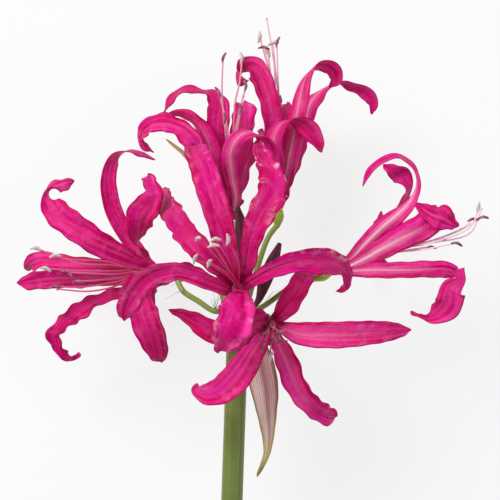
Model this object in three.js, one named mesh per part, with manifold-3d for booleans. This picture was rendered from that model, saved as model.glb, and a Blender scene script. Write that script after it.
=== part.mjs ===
// A cut nerine stem lying on its back: a green scape, an umbel of seven open florets, two
// papery spathe valves and two withered buds. Millimetres, +Z up, the scape along Y.
//
// The umbel is drawn as it is seen from straight in front of it. A place is given as
// [across, down, near]: across and down on a square drawing grid, near in millimetres toward
// the eye from the scape's axis. The whole stem is then laid down about the X axis.
import * as THREE from 'three';
import { mergeVertices } from 'three/addons/utils/BufferGeometryUtils.js';
import Module from 'manifold-3d';

const wasm = await Module();
wasm.setup();

// Drawing grid
const GRID = 0.37; // millimetres in one unit of the grid
const UMBEL_ACROSS = 238; // the scape's top on the grid
const UMBEL_DOWN = 322;

// Driving dimensions in millimetres
const SCAPE_LENGTH = 330;
const SCAPE_LEAN_DEG = 1.95;
const SCAPE_RADIUS = 4.0;
const SCAPE_NECK_RADIUS = 4.6;
const STALK_RING = 3.4; // radius of the ring on which the pedicels stand
const STALK_RADIUS = 1.05;
const OVARY_RADIUS = 2;
const OVARY_LENGTH = 6;
const TUBE_LENGTH = 4.5; // where the six tepals are joined
const TUBE_FOOT_RADIUS = 1.3;
const TUBE_RADIUS = 2.6;
const MOUTH_RADIUS = 2.8;
const BLADE = 0.7; // thickness of a tepal
const BLADE_ROOT_DEPTH = 2.7; // how far down the tube a tepal starts
const BLADE_ROOT_OUT = 0.7; // and how far from the tube's axis
const BLADE_ROOT_BREADTH = 2.2;
const BLADE_MOUTH_BREADTH = 3;
const BLADE_CUP = 0.1; // rise of a tepal's edges, as a share of its breadth
const RUFFLE = 0.9; // how far a crisped edge leaves the blade
const FLAP_RUFFLE = 1.3; // and how far the edge of a folded end does
const PAPER = 0.7; // thickness of a spathe valve
const PAPER_CUP = -0.16;
const PAPER_RUFFLE = 0.3;
const STATION_STEP = 5.1; // along a blade
const FILAMENT_RADIUS = 0.44;
const FILAMENT_START = 1.2; // above the throat
const FILAMENT_RING = 1.05; // the ring that the filaments rise from
const PLUG_RADIUS = 1.5; // of the disc that joins them
const PLUG_TOP = 2; // above the throat
const ANTHER_LENGTH = 4.4;
const ANTHER_RADIUS = 0.85;
const ANTHER_TIP_RADIUS = 0.4;
const ANTHER_SAG = 0.7; // how far its tips hang below its middle
const BUD_STALK_RADIUS = 0.7;
const SEAT_GAP = 0.3; // between pieces that touch in life
const FUSED_EDGE = 0.04; // shorter edges, left by joining, are closed up
const LIE_DEG = 7.03; // how far the scape slopes when the stem lies down
const LIE_HEIGHT = 43.9; // of the scape's top above the surface it lies on

// Where the points of a blade's grid lie across it, from edge to edge.
const LANES = [-1, -0.4, 0.4, 1];

// The ruffle of a blade's edges grows from the base and has its full height from this share of
// the length on; its waves are made unequal by these steps from station to station.
const RUFFLE_FULL = 0.55;
const UNEVEN_LIFT = 2.1;
const UNEVEN_REACH = 1.7;

// Each open floret: the throat and its facing (across, up, near), then six tepals; flaps are
// ends of tepals that are folded over toward the eye, from the fold to the tip. A tepal's
// rows run from the mouth to the tip: [across, down, near, breadth, turn]. Breadth is in
// millimetres. Turn is how far, in degrees, the blade's inner face is turned from the eye:
// 0 shows the inner face, 90 the edge and 180 the back.
const FLORETS = {
  centre: {
    throat: [238, 288, 26],
    facing: [0, 0.35, 0.94],
    crisp: [1, 0.5, 1.2, 0.7, 0.9, 1.6],
    tepals: [
      [[224, 273, 31, 5, 0], [203, 252, 34, 8.4, -10], [184, 229, 25, 9, -15],
        [168, 207, 7, 8.4, -15], [161, 195, -5, 7, -10], [158, 188, -13, 3, 0]],
      [[233, 268, 32, 5.5, 0], [225, 240, 37, 8.8, 5], [216, 209, 38, 10, 8],
        [208, 182, 34, 10.2, 5], [202, 165, 28, 9.6, 5], [197, 152, 21, 8.6, 0], [196, 146, 13, 7, 0]],
      [[246, 268, 31, 5.5, 0], [252, 240, 35, 7.4, 0], [261, 214, 35, 10.2, 0], [271, 193, 32, 10.4, 0],
        [272, 177, 29, 9.4, 0], [265, 163, 24, 7, 10], [260, 152, 20, 6, 10], [259, 144, 15, 4.4, 10]],
      [[252, 281, 31, 4.4, 0], [272, 269, 35, 6.5, 20], [296, 261, 36, 8.5, 25],
        [319, 260, 34, 10.4, 20], [334, 263, 30, 9, 15], [344, 271, 24, 5, 10], [347, 281, 20, 3, 0],
        [343, 289, 17, 2.4, -10], [336, 291, 15, 1.2, -20]],
      [[224, 288, 31, 4.6, 0], [205, 280, 35, 6, -10], [182, 271, 37, 7, -20],
        [158, 273, 36, 8.5, -25], [142, 283, 33, 9.8, -15], [132, 297, 29, 9.2, -5],
        [126, 312, 25, 6, 0], [125, 320, 22, 1.8, 0]],
      [[240, 293, 32, 6, 0], [239, 303, 42, 11, 0], [237, 316, 48, 13.6, 0],
        [230, 330, 48, 13, 0], [224, 342, 44, 8.6, 0], [221, 349, 39, 3.6, 0]],
    ],
  },
  lower_right: {
    throat: [271, 323, 15],
    facing: [0.2, -0.2, 0.96],
    crisp: [0.6, 0.4, 1, 0.35, 0.7, 1],
    tepals: [
      [[259, 325, 19, 4.5, 0], [238, 330, 23, 7.5, 0], [214, 331, 26, 8.5, 0],
        [199, 322, 24, 7, 0], [185, 315, 20, 4.2, 0], [170, 310, 15, 1.4, 0]],
      [[264, 335, 20, 5, 0], [252, 353, 25, 8.8, 0], [238, 374, 27, 11, 5],
        [221, 389, 26, 10, 5], [206, 393, 23, 7.5, 0], [197, 389, 18, 3.6, 0], [197, 383, 14, 1.4, 0]],
      [[276, 339, 19, 5, 0], [287, 362, 23, 8.4, 0], [298, 388, 24, 8, 0],
        [311, 405, 22, 7.6, 0], [324, 413, 17, 7.4, 0], [335, 416, 11, 5, 0]],
      [[285, 328, 18, 5, 0], [300, 333, 22, 8.4, 0], [330, 334, 23, 9.8, 0],
        [360, 333, 21, 9.2, 0], [384, 331, 17, 7.6, 0], [399, 330, 13, 5, 0], [410, 330, 10, 1.2, 0]],
      [[279, 315, 19, 5, 0], [287, 305, 22, 8.2, 0], [296, 291, 19, 8, 0],
        [303, 277, 13, 7.4, 0], [305, 266, 5, 6, 0], [304, 262, -4, 2.4, 0]],
      [[264, 318, 22, 4.5, 0], [256, 318, 30, 7, 0], [248, 323, 36, 8.4, 0],
        [242, 333, 38, 8, 0], [238, 343, 35, 5, 0], [236, 347, 30, 2, 0]],
    ],
  },
  left: {
    throat: [153, 273, 2],
    facing: [-0.75, 0.05, 0.66],
    crisp: [0.9, 1.2, 0.5, 0.7, 1.8, 0.6],
    tepals: [
      [[140, 264, 3, 4.6, 0], [117, 253, 8, 8.4, 0], [92, 239, 12, 9.6, 0],
        [70, 223, 13, 10, 0], [57, 211, 12, 9.6, 5], [50, 201, 10, 7, 30], [49, 193, 6, 4.6, 80],
        [54, 187, 3, 6, 130], [64, 183, 1, 5.6, 150], [74, 181, -1, 2.2, 160]],
      [[145, 259, 0, 4.4, 180], [138, 245, 2, 6, 100], [139, 229, 6, 9, 20], [143, 213, 10, 10.6, 0],
        [150, 202, 11, 9.4, 0], [153, 190, 11, 6, 0], [150, 182, 9, 5, 0], [148, 176, 6, 5.6, 0]],
      [[139, 270, -2, 4.4, 0], [116, 268, 0, 5.4, 30], [87, 265, 3, 6.4, 40], [60, 263, 4, 7, 40],
        [41, 261, 3, 7.4, 30], [30, 265, -2, 6, 10], [29, 270, -8, 2.4, 0]],
      [[139, 278, 0, 4.4, -10], [113, 279, 4, 5.4, -30], [82, 279, 9, 6, -30],
        [53, 279, 11, 7.2, -20], [32, 281, 9, 6.4, -10], [18, 283, 6, 1.8, 0]],
      [[141, 285, -2, 4.4, -20], [121, 292, 0, 4.6, -10], [97, 301, 1, 4.4, 0], [82, 309, 1, 6.6, 0],
        [70, 316, 0, 6, 0], [61, 325, -2, 5, 0], [54, 337, -4, 5, 0], [58, 348, -6, 3.8, 10],
        [64, 357, -8, 3.2, 20], [73, 359, -9, 2.6, 20], [79, 353, -9, 1.4, 20]],
      [[147, 287, 5, 4.8, 0], [141, 299, 8, 8.6, 0], [145, 317, 10, 10.8, 0],
        [153, 337, 10, 10.2, 0], [158, 352, 7, 7.6, 0], [160, 361, 3, 4, 0]],
    ],
  },
  back_left: {
    throat: [165, 277, -16],
    facing: [-0.7, 0, -0.7],
    crisp: [0.15, 1, 1, 1, 1, 1],
    tepals: [
      [[150, 266, -15, 4.4, 20], [137, 251, -15, 5.6, 20], [124, 234, -14, 6.6, 25],
        [111, 206, -12, 7, 25], [107, 181, -11, 6.8, 30], [113, 158, -14, 6, 50],
        [127, 150, -18, 5, 100], [141, 152, -21, 4, 120], [154, 159, -24, 1.4, 120]],
      [[149, 268, -21, 4.4, 0], [127, 261, -27, 7, 0], [103, 247, -31, 7.6, 0],
        [81, 232, -34, 7.6, 0], [65, 218, -37, 6, 0], [57, 209, -41, 2, 0]],
      [[148, 274, -16, 4.4, 0], [124, 273, -21, 6.2, 0], [98, 271, -26, 6.4, 0],
        [74, 271, -31, 6, 0], [54, 270, -35, 2, 0]],
      [[171, 271, -26, 4.4, 0], [182, 270, -32, 5.6, 0], [195, 275, -36, 5.6, 0],
        [206, 280, -39, 5, 0], [213, 284, -40, 2, 0]],
      [[154, 286, -22, 4.4, 0], [145, 299, -28, 7, 0], [146, 316, -32, 8, 0],
        [151, 335, -35, 7.6, 0], [155, 349, -39, 4, 0], [156, 354, -42, 1.6, 0]],
      [[167, 277, -27, 4.4, 0], [166, 275, -36, 6.6, 0], [160, 275, -43, 8, 0],
        [149, 276, -46, 8, 0], [137, 277, -46, 6, 0], [127, 277, -43, 2, 0]],
    ],
  },
  upper_left: {
    throat: [232, 208, -12],
    facing: [-0.15, 0.97, 0],
    crisp: [0.8, 0.5, 1, 1, 0.25, 0.6],
    tepals: [
      [[224, 196, -15, 4.6, 0], [221, 172, -13, 7.6, 0], [218, 148, -10, 8.6, 0],
        [217, 122, -8, 8.6, 0], [218, 104, -9, 8, 10], [211, 94, -11, 5.6, 55], [198, 91, -12, 4.6, 60],
        [184, 90, -12, 6, 58], [173, 97, -12, 5, 60], [164, 111, -12, 2.4, 60]],
      [[223, 197, -10, 4.4, 150], [216, 176, -6, 6, 150], [212, 154, -4, 6.8, 150],
        [206, 135, -4, 6.8, 150], [196, 121, -4, 5.8, 140], [184, 114, -5, 4.6, 130],
        [173, 114, -6, 3.6, 130], [163, 119, -6, 1.6, 130]],
      [[225, 199, -6, 4.4, 0], [211, 180, 0, 6, 10], [200, 158, 2, 7, 10], [190, 138, 3, 7.6, 10],
        [176, 127, 2, 6.8, 15], [159, 123, 0, 7.4, 20], [147, 127, -4, 6, 35], [141, 137, -7, 5, 50],
        [146, 147, -9, 3.4, 50], [153, 152, -10, 1.4, 50]],
      [[234, 196, -17, 4.6, 0], [238, 172, -20, 7.4, 0], [241, 146, -24, 8.4, 0], [243, 122, -29, 8.6, 0],
        [244, 106, -35, 8, 0], [244, 100, -42, 2.4, 0]],
      [[236, 196, -5, 4.4, 180], [232, 174, 0, 6, 180], [231, 152, 4, 6.6, 180], [238, 138, 6, 6.6, 150],
        [250, 133, 6, 6.2, 120], [262, 138, 5, 6.2, 60], [270, 149, 3, 5.6, 20], [274, 160, 1, 3, 0],
        [275, 166, 0, 1.4, 0]],
      [[239, 198, -13, 4.2, 60], [242, 182, -15, 5, 60], [247, 164, -17, 5.6, 60], [255, 148, -20, 6, 50],
        [262, 136, -26, 6, 30], [263, 129, -33, 2.4, 20]],
    ],
  },
  top: {
    throat: [281, 196, -19],
    facing: [0.12, 0.97, -0.1],
    crisp: [0.3, 0.5, 0.8, 0.3, 1, 1],
    tepals: [
      [[285, 183, -14, 4.6, 180], [289, 158, -10, 6.2, 180], [295, 128, -8, 6.6, 170],
        [300, 100, -7, 6.4, 150], [307, 76, -8, 6, 120], [319, 64, -10, 6, 60], [332, 67, -13, 6, 20],
        [337, 78, -15, 4.6, 0], [330, 86, -16, 2, 0]],
      [[290, 184, -20, 4.6, 265], [296, 158, -20, 6, 220], [303, 128, -21, 6.4, 180],
        [312, 101, -23, 6.4, 150], [325, 87, -25, 6, 110], [341, 80, -26, 5.6, 80], [354, 84, -26, 6, 60],
        [366, 90, -26, 5.6, 40], [375, 101, -26, 4.4, 20], [373, 113, -26, 1.4, 10]],
      [[280, 183, -13, 4.6, 0], [277, 158, -11, 6.4, 0], [275, 130, -9, 7.6, 0], [269, 100, -8, 7.6, 0],
        [263, 80, -9, 7.8, 0], [256, 68, -13, 8.6, -20], [245, 65, -17, 8.8, -50],
        [237, 70, -18, 7.6, -95], [239, 78, -16, 5.6, -130], [247, 80, -13, 2.4, -140]],
      [[281, 182, -10, 4.4, 180], [276, 160, -5, 6, 180], [274, 139, -3, 6.4, 170],
        [281, 125, -3, 6.4, 130], [292, 120, -3, 6, 70], [303, 124, -4, 7, 20],
        [312, 133, -5, 7, 0], [319, 144, -6, 4, 0], [322, 152, -7, 1.6, 0]],
      [[281, 183, -24, 4.6, 0], [283, 158, -28, 7, 0], [285, 132, -32, 8, 0], [286, 112, -37, 7.6, 0],
        [287, 102, -44, 3, 0]],
      [[285, 186, -25, 4.6, 0], [292, 162, -28, 6.4, 0], [300, 136, -32, 7, 0], [306, 116, -37, 6.8, 0],
        [309, 107, -43, 2.6, 0]],
    ],
  },
  right: {
    throat: [342, 268, 2],
    facing: [0.9, 0.35, 0.1],
    crisp: [0.2, 0.8, 0.4, 0.4, 1, 1],
    flaps: [
      [[415, 204, 12, 1.4, 0], [424, 211, 13, 5.4, 0], [433, 216, 14, 7.4, 0],
        [441, 218, 14, 10, 0], [449, 223, 13, 6, 0], [457, 227, 12, 1.4, 0]],
      [[457, 269, 11, 5, 0], [459, 280, 12, 4, 0], [450, 290, 12, 9.4, 0], [448, 303, 11, 10.4, 0],
        [437, 315, 9, 7.4, 0], [424, 318, 7, 2, 0], [411, 311, 5, 1.4, 0]],
    ],
    tepals: [
      [[350, 260, 5, 4.4, 180], [364, 245, 7, 5.6, 180], [381, 228, 9, 6.4, 180],
        [398, 214, 9, 6.6, 150], [411, 200, 7, 6.4, 120], [417, 183, 4, 6, 100], [412, 167, 0, 5.6, 80],
        [399, 157, -4, 5, 70], [385, 160, -6, 4.4, 60], [372, 169, -6, 3.4, 50], [363, 186, -5, 1.4, 50]],
      [[351, 260, -1, 4.4, 0], [369, 247, -3, 5.6, 0], [389, 229, -5, 6, 20], [402, 209, -6, 6.2, 40],
        [407, 192, -8, 5, 65], [403, 179, -11, 7.4, 10], [394, 170, -14, 5.4, 20],
        [384, 165, -16, 2, 30]],
      [[354, 264, 7, 4.6, 180], [376, 252, 10, 7.4, 180], [401, 238, 12, 9, 180],
        [420, 228, 12, 9.8, 180], [431, 221, 12, 9.4, 180], [438, 217, 12, 5, 180]],
      [[355, 271, 7, 4.4, 180], [378, 270, 11, 5.8, 180], [405, 270, 13, 6, 180],
        [430, 269, 13, 6.2, 180], [448, 270, 12, 6, 180], [457, 275, 11, 4, 180]],
      [[351, 262, -5, 4.4, 0], [366, 251, -11, 6.4, 0], [379, 238, -17, 8, 0], [386, 227, -24, 9.2, 0],
        [390, 222, -32, 8, 0], [390, 221, -40, 2.6, 0]],
      [[349, 266, -6, 4.4, 0], [354, 265, -15, 6.6, 0], [359, 264, -27, 8, 0], [365, 264, -38, 8, 0],
        [373, 264, -45, 7.4, 0], [383, 265, -47, 6, 0], [392, 266, -44, 2, 0]],
    ],
  },
};

// Each pedicel: where it stands on the ring, in degrees from the right toward the eye, and
// the points it passes on its way to the floret's tube.
const PEDICELS = {
  centre: { stands: 98, route: [[240, 308, 8]] },
  lower_right: { stands: 62, route: [[252, 321, 7]] },
  left: { stands: 175, route: [[214, 311, 0], [198, 301, -1], [183, 291, -2]] },
  back_left: { stands: 218, route: [[226, 299, -7], [208, 280, -9]] },
  upper_left: { stands: 285, route: [[241, 290, -8], [238, 252, -12]] },
  top: { stands: 320, route: [[254, 280, -9], [268, 238, -16]] },
  right: { stands: 355, route: [[262, 307, 1], [290, 288, 2]] },
};

// Stamens: the points that a floret's filaments pass together, side by side, then one row for
// each with its own points and the way its anther points (across, up, near). The row with no
// anther is the style.
const STAMENS = {
  centre: {
    together: [[236, 280, 34]],
    rows: [
      [[[220, 260, 42], [199, 238, 47]], [0.4, 0.2, 0.9]],
      [[[228, 258, 45], [216, 239, 50]], [1, 0.1, 0.2]],
      [[[226, 264, 48], [214, 245, 54]], [1, 0.15, 0.2]],
      [[[236, 260, 43], [229, 240, 49]], [0.05, 1, 0.1]],
      [[[217, 268, 41], [196, 258, 46]], [0.3, 0.8, 0.5]],
      [[[224, 270, 45], [210, 262, 51]], [0.3, 0.6, 0.6]],
      [[[239, 264, 42], [233, 249, 47]]],
    ],
  },
  lower_right: {
    together: [[272, 328, 24]],
    rows: [
      [[[272, 339, 33]], [0.7, 0.6, 0.2]],
      [[[281, 340, 32]], [0.9, 0.3, 0.2]],
      [[[262, 345, 33]], [0.3, 0.9, 0.1]],
      [[[270, 355, 31]], [0.3, 0.9, 0.1]],
      [[[279, 331, 35]], [0.8, 0.5, 0.3]],
      [[[263, 332, 36]], [0.8, 0.5, 0.3]],
      [[[273, 327, 38]]],
    ],
  },
  left: {
    together: [[142, 272, 9]],
    rows: [
      [[[110, 262, 15], [64, 258, 19], [38, 248, 21]], [1, -0.15, 0]],
      [[[112, 265, 18], [80, 263, 22], [57, 255, 25]], [1, 0.1, 0]],
      [[[110, 271, 20], [70, 270, 24], [48, 268, 26]], [1, -0.3, 0]],
      [[[116, 274, 22], [90, 273, 26], [70, 272, 28]], [0.8, -0.4, 0]],
      [[[118, 278, 19], [98, 280, 23], [80, 281, 26]], [1, -0.2, 0]],
      [[[115, 282, 16], [80, 287, 20], [56, 286, 22]], [1, 0.1, 0]],
      [[[116, 286, 13], [90, 291, 15], [60, 289, 17]]],
    ],
  },
  back_left: {
    together: [[148, 279, -23]],
    rows: [
      [[[124, 268, -34]], [0.8, 0.5, 0]],
      [[[120, 275, -37]], [0.8, -0.5, 0]],
      [[[127, 283, -34]], [0.3, 0.9, 0]],
      [[[116, 273, -31]]],
    ],
  },
  upper_left: {
    together: [[232, 178, -10], [232, 153, -4]],
    rows: [
      [[[224, 120, -1], [222, 90, 0], [223, 58, 0]], [0.3, 1, 0]],
      [[[235, 104, -2], [240, 80, -1], [242, 58, -2]], [0, 1, 0]],
      [[[227, 126, 1], [219, 92, 3]], [-0.4, 0.9, 0]],
      [[[236, 130, 1], [241, 110, 2]], [0.1, 1, 0]],
      [[[240, 108, -5], [246, 86, -5]], [0, 1, 0]],
      [[[226, 136, 3], [225, 119, 5]], [0.1, 1, 0]],
      [[[238, 126, -1], [243, 98, 0]]],
    ],
  },
  top: {
    together: [[281, 160, -18], [279, 124, -17]],
    rows: [
      [[[269, 72, -17], [260, 36, -15]], [0.1, 1, 0]],
      [[[271, 76, -14], [264, 46, -13]], [1, -0.1, 0]],
      [[[272, 80, -20], [268, 50, -21]], [0.6, -0.8, 0]],
      [[[278, 74, -15], [277, 41, -14]], [0.3, 1, 0]],
      [[[276, 72, -18], [273, 41, -18]], [1, 0.3, 0]],
      [[[281, 100, -20]], [0.1, 1, 0]],
      [[[274, 60, -22], [267, 18, -24]]],
    ],
  },
  right: {
    together: [[356, 262, 2], [386, 252, 3]],
    rows: [
      [[[430, 241, 8], [462, 228, 11], [472, 219, 11]], [1, 0.1, 0]],
      [[[430, 243, 11], [470, 226, 14], [477, 208, 14]], [0.2, 1, 0]],
      [[[425, 249, 9], [456, 243, 12]], [1, -0.25, 0]],
      [[[408, 250, 5], [430, 247, 6]], [1, 0.1, 0]],
      [[[430, 241, 4], [456, 232, 6], [482, 217, 7]], [1, 0.1, 0]],
      [[[412, 246, 1], [440, 239, 2]], [1, 0.2, 0]],
      [[[430, 243, 0], [470, 233, 0], [481, 210, 1]]],
    ],
  },
};

// The two spathe valves, in rows like a tepal's. The front one hangs down before the scape, the
// back one stands up behind the florets.
const SPATHES = {
  front: [[247, 333, 6, 6, 0], [255, 352, 10, 10.5, 0], [262, 380, 11, 11, 10],
    [266, 409, 10, 8, 10], [268, 436, 8.5, 4.4, 0], [266, 455, 8, 2.4, 0], [257, 476, 7.5, 1.2, 0]],
  back: [[234, 326, -5.6, 4.6, 0], [231, 310, -9, 6, 0], [226, 281, -12, 6.6, 0], [220, 246, -12, 6, 0],
    [212, 212, -11, 4.8, 0], [202, 184, -9, 3.4, 0], [188, 158, -7, 1.8, 0], [166, 139, -4, 1, 0]],
};

// The two withered buds: where the thin stalk stands, in degrees and out from the scape's axis,
// then the bud's own rows [across, down, near, radius].
const BUDS = {
  right: {
    stands: 30,
    out: 3.4,
    rows: [[253, 308, 5, 0.7], [259, 299, 7, 1.2], [265, 282, 8, 2.3], [273, 262, 8, 2.2],
      [280, 243, 8, 0.7]],
  },
  middle: {
    stands: 90,
    out: 0.4,
    rows: [[240, 290, 2, 0.7], [241, 262, 4, 0.9], [242, 246, 5, 1.8], [242, 228, 6, 2.2],
      [238, 207, 6, 0.7]],
  },
};

// Colour and roughness
const COLOURS = {
  tepals: [0xd21f78, 0.55],
  stamens: [0xd9b3b8, 0.6],
  pedicel: [0x7f9a3a, 0.5],
  scape: [0x6f8446, 0.45],
  spathe: [0xc9a79c, 0.8],
  bud: [0x4b2133, 0.8],
};

function place([across, down, near]) {
  return new THREE.Vector3((across - UMBEL_ACROSS) * GRID, (UMBEL_DOWN - down) * GRID, near);
}

function mix(a, b, share) {
  return a + (b - a) * share;
}

// A smooth route through knots. Each knot is an array whose first three values are a place
// in millimetres; any further values are carried along with it. Knots that lie close together
// take less of the route than their distance, so that a tight bend stays a bend.
function smoothRoute(knots) {
  const when = [0];
  for (let i = 1; i < knots.length; i += 1) {
    const step = Math.hypot(...[0, 1, 2].map((axis) => knots[i][axis] - knots[i - 1][axis]));
    when.push(when[i - 1] + Math.sqrt(step));
  }
  const last = knots.length - 1;
  const rate = (i, value) => (knots[i + 1][value] - knots[i][value]) / (when[i + 1] - when[i]);
  const slope = (i, value) => {
    if (i === 0) return rate(0, value);
    if (i === last) return rate(last - 1, value);
    const before = when[i] - when[i - 1];
    const after = when[i + 1] - when[i];
    return (rate(i - 1, value) * after + rate(i, value) * before) / (before + after);
  };
  return (share) => {
    const now = share * when[last];
    let i = 0;
    while (i < last - 1 && now > when[i + 1]) i += 1;
    const span = when[i + 1] - when[i];
    const s = (now - when[i]) / span;
    const rise = s * s * (3 - 2 * s);
    return knots[i].map((start, value) => mix(start, knots[i + 1][value], rise)
      + span * s * (1 - s) * ((1 - s) * slope(i, value) - s * slope(i + 1, value)));
  };
}

function routeLength(route) {
  const steps = 40;
  let length = 0;
  for (let i = 1; i <= steps; i += 1) {
    const here = new THREE.Vector3(...route(i / steps));
    length += here.distanceTo(new THREE.Vector3(...route((i - 1) / steps)));
  }
  return length;
}

function directionAt(route, share) {
  const reach = 0.004;
  const ahead = new THREE.Vector3(...route(Math.min(1, share + reach)));
  return ahead.sub(new THREE.Vector3(...route(Math.max(0, share - reach)))).normalize();
}

const EYE = new THREE.Vector3(0, 0, 1);

// The part of a vector that stands square to a direction.
function squareTo(vector, direction) {
  return vector.clone().addScaledVector(direction, -vector.dot(direction)).normalize();
}

function turnOf(inward, along) {
  const seen = squareTo(EYE, along);
  const aside = new THREE.Vector3().crossVectors(along, seen);
  return THREE.MathUtils.radToDeg(Math.atan2(inward.dot(aside), inward.dot(seen)));
}

function nearestTurn(turn, other) {
  return turn + 360 * Math.round((other - turn) / 360);
}

// A closed solid from a grid of points: the grid twice, half the thickness to each side,
// split into triangles alike on both faces, with a rim around.
function bladeSolid(grid, thickness) {
  const rows = grid.length;
  const lanes = grid[0].length;
  const normals = grid.map((row, i) => row.map((point, j) => {
    const alongRow = grid[Math.min(rows - 1, i + 1)][j].clone().sub(grid[Math.max(0, i - 1)][j]);
    const acrossRow = row[Math.min(lanes - 1, j + 1)].clone().sub(row[Math.max(0, j - 1)]);
    return alongRow.cross(acrossRow).normalize();
  }));
  const places = [];
  for (const side of [0.5, -0.5]) {
    grid.forEach((row, i) => row.forEach((point, j) => {
      places.push(point.clone().addScaledVector(normals[i][j], side * thickness));
    }));
  }
  const front = (i, j) => i * lanes + j;
  const back = (i, j) => rows * lanes + i * lanes + j;
  const faces = [];
  for (let i = 0; i < rows - 1; i += 1) {
    for (let j = 0; j < lanes - 1; j += 1) {
      faces.push([front(i, j), front(i + 1, j), front(i + 1, j + 1)]);
      faces.push([front(i, j), front(i + 1, j + 1), front(i, j + 1)]);
      faces.push([back(i, j), back(i + 1, j + 1), back(i + 1, j)]);
      faces.push([back(i, j), back(i, j + 1), back(i + 1, j + 1)]);
    }
  }
  const rim = [];
  for (let j = 0; j < lanes - 1; j += 1) rim.push([0, j]);
  for (let i = 0; i < rows - 1; i += 1) rim.push([i, lanes - 1]);
  for (let j = lanes - 1; j > 0; j -= 1) rim.push([rows - 1, j]);
  for (let i = rows - 1; i > 0; i -= 1) rim.push([i, 0]);
  rim.forEach(([i, j], k) => {
    const [m, n] = rim[(k + 1) % rim.length];
    faces.push([front(i, j), front(m, n), back(m, n)]);
    faces.push([front(i, j), back(m, n), back(i, j)]);
  });
  return closedSolid(places, faces);
}

// A round solid that follows a route; a knot's fourth value is its radius.
function rodSolid(knots, sides, stations) {
  const route = smoothRoute(knots);
  const places = [];
  let across = null;
  for (let i = 0; i <= stations; i += 1) {
    const share = i / stations;
    const along = directionAt(route, share);
    across = squareTo(across ?? (Math.abs(along.z) < 0.8 ? EYE : new THREE.Vector3(0, 1, 0)), along);
    const up = new THREE.Vector3().crossVectors(along, across);
    const [x, y, z, radius] = route(share);
    for (let k = 0; k < sides; k += 1) {
      const angle = (2 * Math.PI * k) / sides;
      const place = new THREE.Vector3(x, y, z);
      place.addScaledVector(across, radius * Math.cos(angle));
      places.push(place.addScaledVector(up, radius * Math.sin(angle)));
    }
  }
  const faces = [];
  for (let i = 0; i < stations; i += 1) {
    for (let k = 0; k < sides; k += 1) {
      const a = i * sides + k;
      const b = i * sides + ((k + 1) % sides);
      faces.push([a, b, b + sides], [a, b + sides, a + sides]);
    }
  }
  const end = stations * sides;
  for (let k = 1; k < sides - 1; k += 1) {
    faces.push([0, k + 1, k], [end, end + k, end + k + 1]);
  }
  return closedSolid(places, faces);
}

function closedSolid(places, faces) {
  const vertProperties = new Float32Array(places.flatMap((point) => [point.x, point.y, point.z]));
  const solid = new wasm.Manifold(new wasm.Mesh({
    numProp: 3, vertProperties, triVerts: new Uint32Array(faces.flat()),
  }));
  if (solid.volume() > 0) return solid;
  return closedSolid(places, faces.map(([a, b, c]) => [a, c, b]));
}

// One body from several: the hollows that joining seals are filled and loose scraps dropped.
function union(solids) {
  const joined = solids.reduce((whole, next) => whole.add(next));
  return largestBody(largestBody(joined).simplify(FUSED_EDGE));
}

function largestBody(solid) {
  return solid.decompose().reduce((most, body) => (body.volume() > most.volume() ? body : most));
}

// The height of the ruffle at a station, up at one and down at the next.
function ruffleAt(share, station) {
  return Math.sin((Math.PI / 2) * Math.min(1, share / RUFFLE_FULL)) * Math.cos(Math.PI * station);
}

// The grid of points of one blade. Its edges rise toward the inner face and are crisped.
function bladeGrid(knots, cup, ruffle, seed) {
  const route = smoothRoute(knots);
  const stations = Math.max(6, Math.round(routeLength(route) / STATION_STEP));
  const grid = [];
  for (let i = 0; i <= stations; i += 1) {
    const share = i / stations;
    const along = directionAt(route, share);
    const [x, y, z, breadth, turnDeg] = route(share);
    const turn = THREE.MathUtils.degToRad(turnDeg);
    const seen = squareTo(EYE, along);
    const aside = new THREE.Vector3().crossVectors(along, seen);
    const inner = seen.clone().multiplyScalar(Math.cos(turn)).addScaledVector(aside, Math.sin(turn));
    const side = new THREE.Vector3().crossVectors(inner, along);
    const crisp = ruffle * ruffleAt(share, i);
    grid.push(LANES.map((lane) => {
      const edge = lane * lane;
      const uneven = 0.7 + 0.3 * Math.sin(seed + UNEVEN_LIFT * i + 2 * lane);
      const lift = (cup * breadth + crisp * uneven * Math.sign(lane)) * edge;
      const wave = 0.6 * crisp * Math.sin(seed + UNEVEN_REACH * i) * edge;
      const reach = (lane * Math.max(breadth, 1)) / 2 + wave;
      const point = new THREE.Vector3(x, y, z).addScaledVector(side, reach);
      return point.addScaledVector(inner, lift);
    }));
  }
  return grid;
}

function placedRows(rows) {
  return rows.map(([across, down, near, ...rest]) => [
    ...place([across, down, near]).toArray(), ...rest]);
}

function throatOf(floret) {
  return { throat: place(floret.throat), facing: new THREE.Vector3(...floret.facing).normalize() };
}

// A tepal's knots: two in the tube, where its inner face looks at the floret's axis, and then
// its own rows.
function tepalKnots(floret, rows) {
  const { throat, facing } = throatOf(floret);
  const outer = placedRows(rows);
  const away = squareTo(new THREE.Vector3(...outer[0]).sub(throat), facing);
  const root = throat.clone().addScaledVector(facing, -BLADE_ROOT_DEPTH);
  root.addScaledVector(away, BLADE_ROOT_OUT);
  const mouth = throat.clone().addScaledVector(away, MOUTH_RADIUS);
  const inward = away.clone().negate();
  const early = mouth.clone().sub(root).normalize();
  const turn = nearestTurn(turnOf(squareTo(inward, early), early), outer[0][4]);
  return [
    [...root.toArray(), BLADE_ROOT_BREADTH, turn],
    [...mouth.toArray(), BLADE_MOUTH_BREADTH, turn],
    ...outer,
  ];
}

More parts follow.
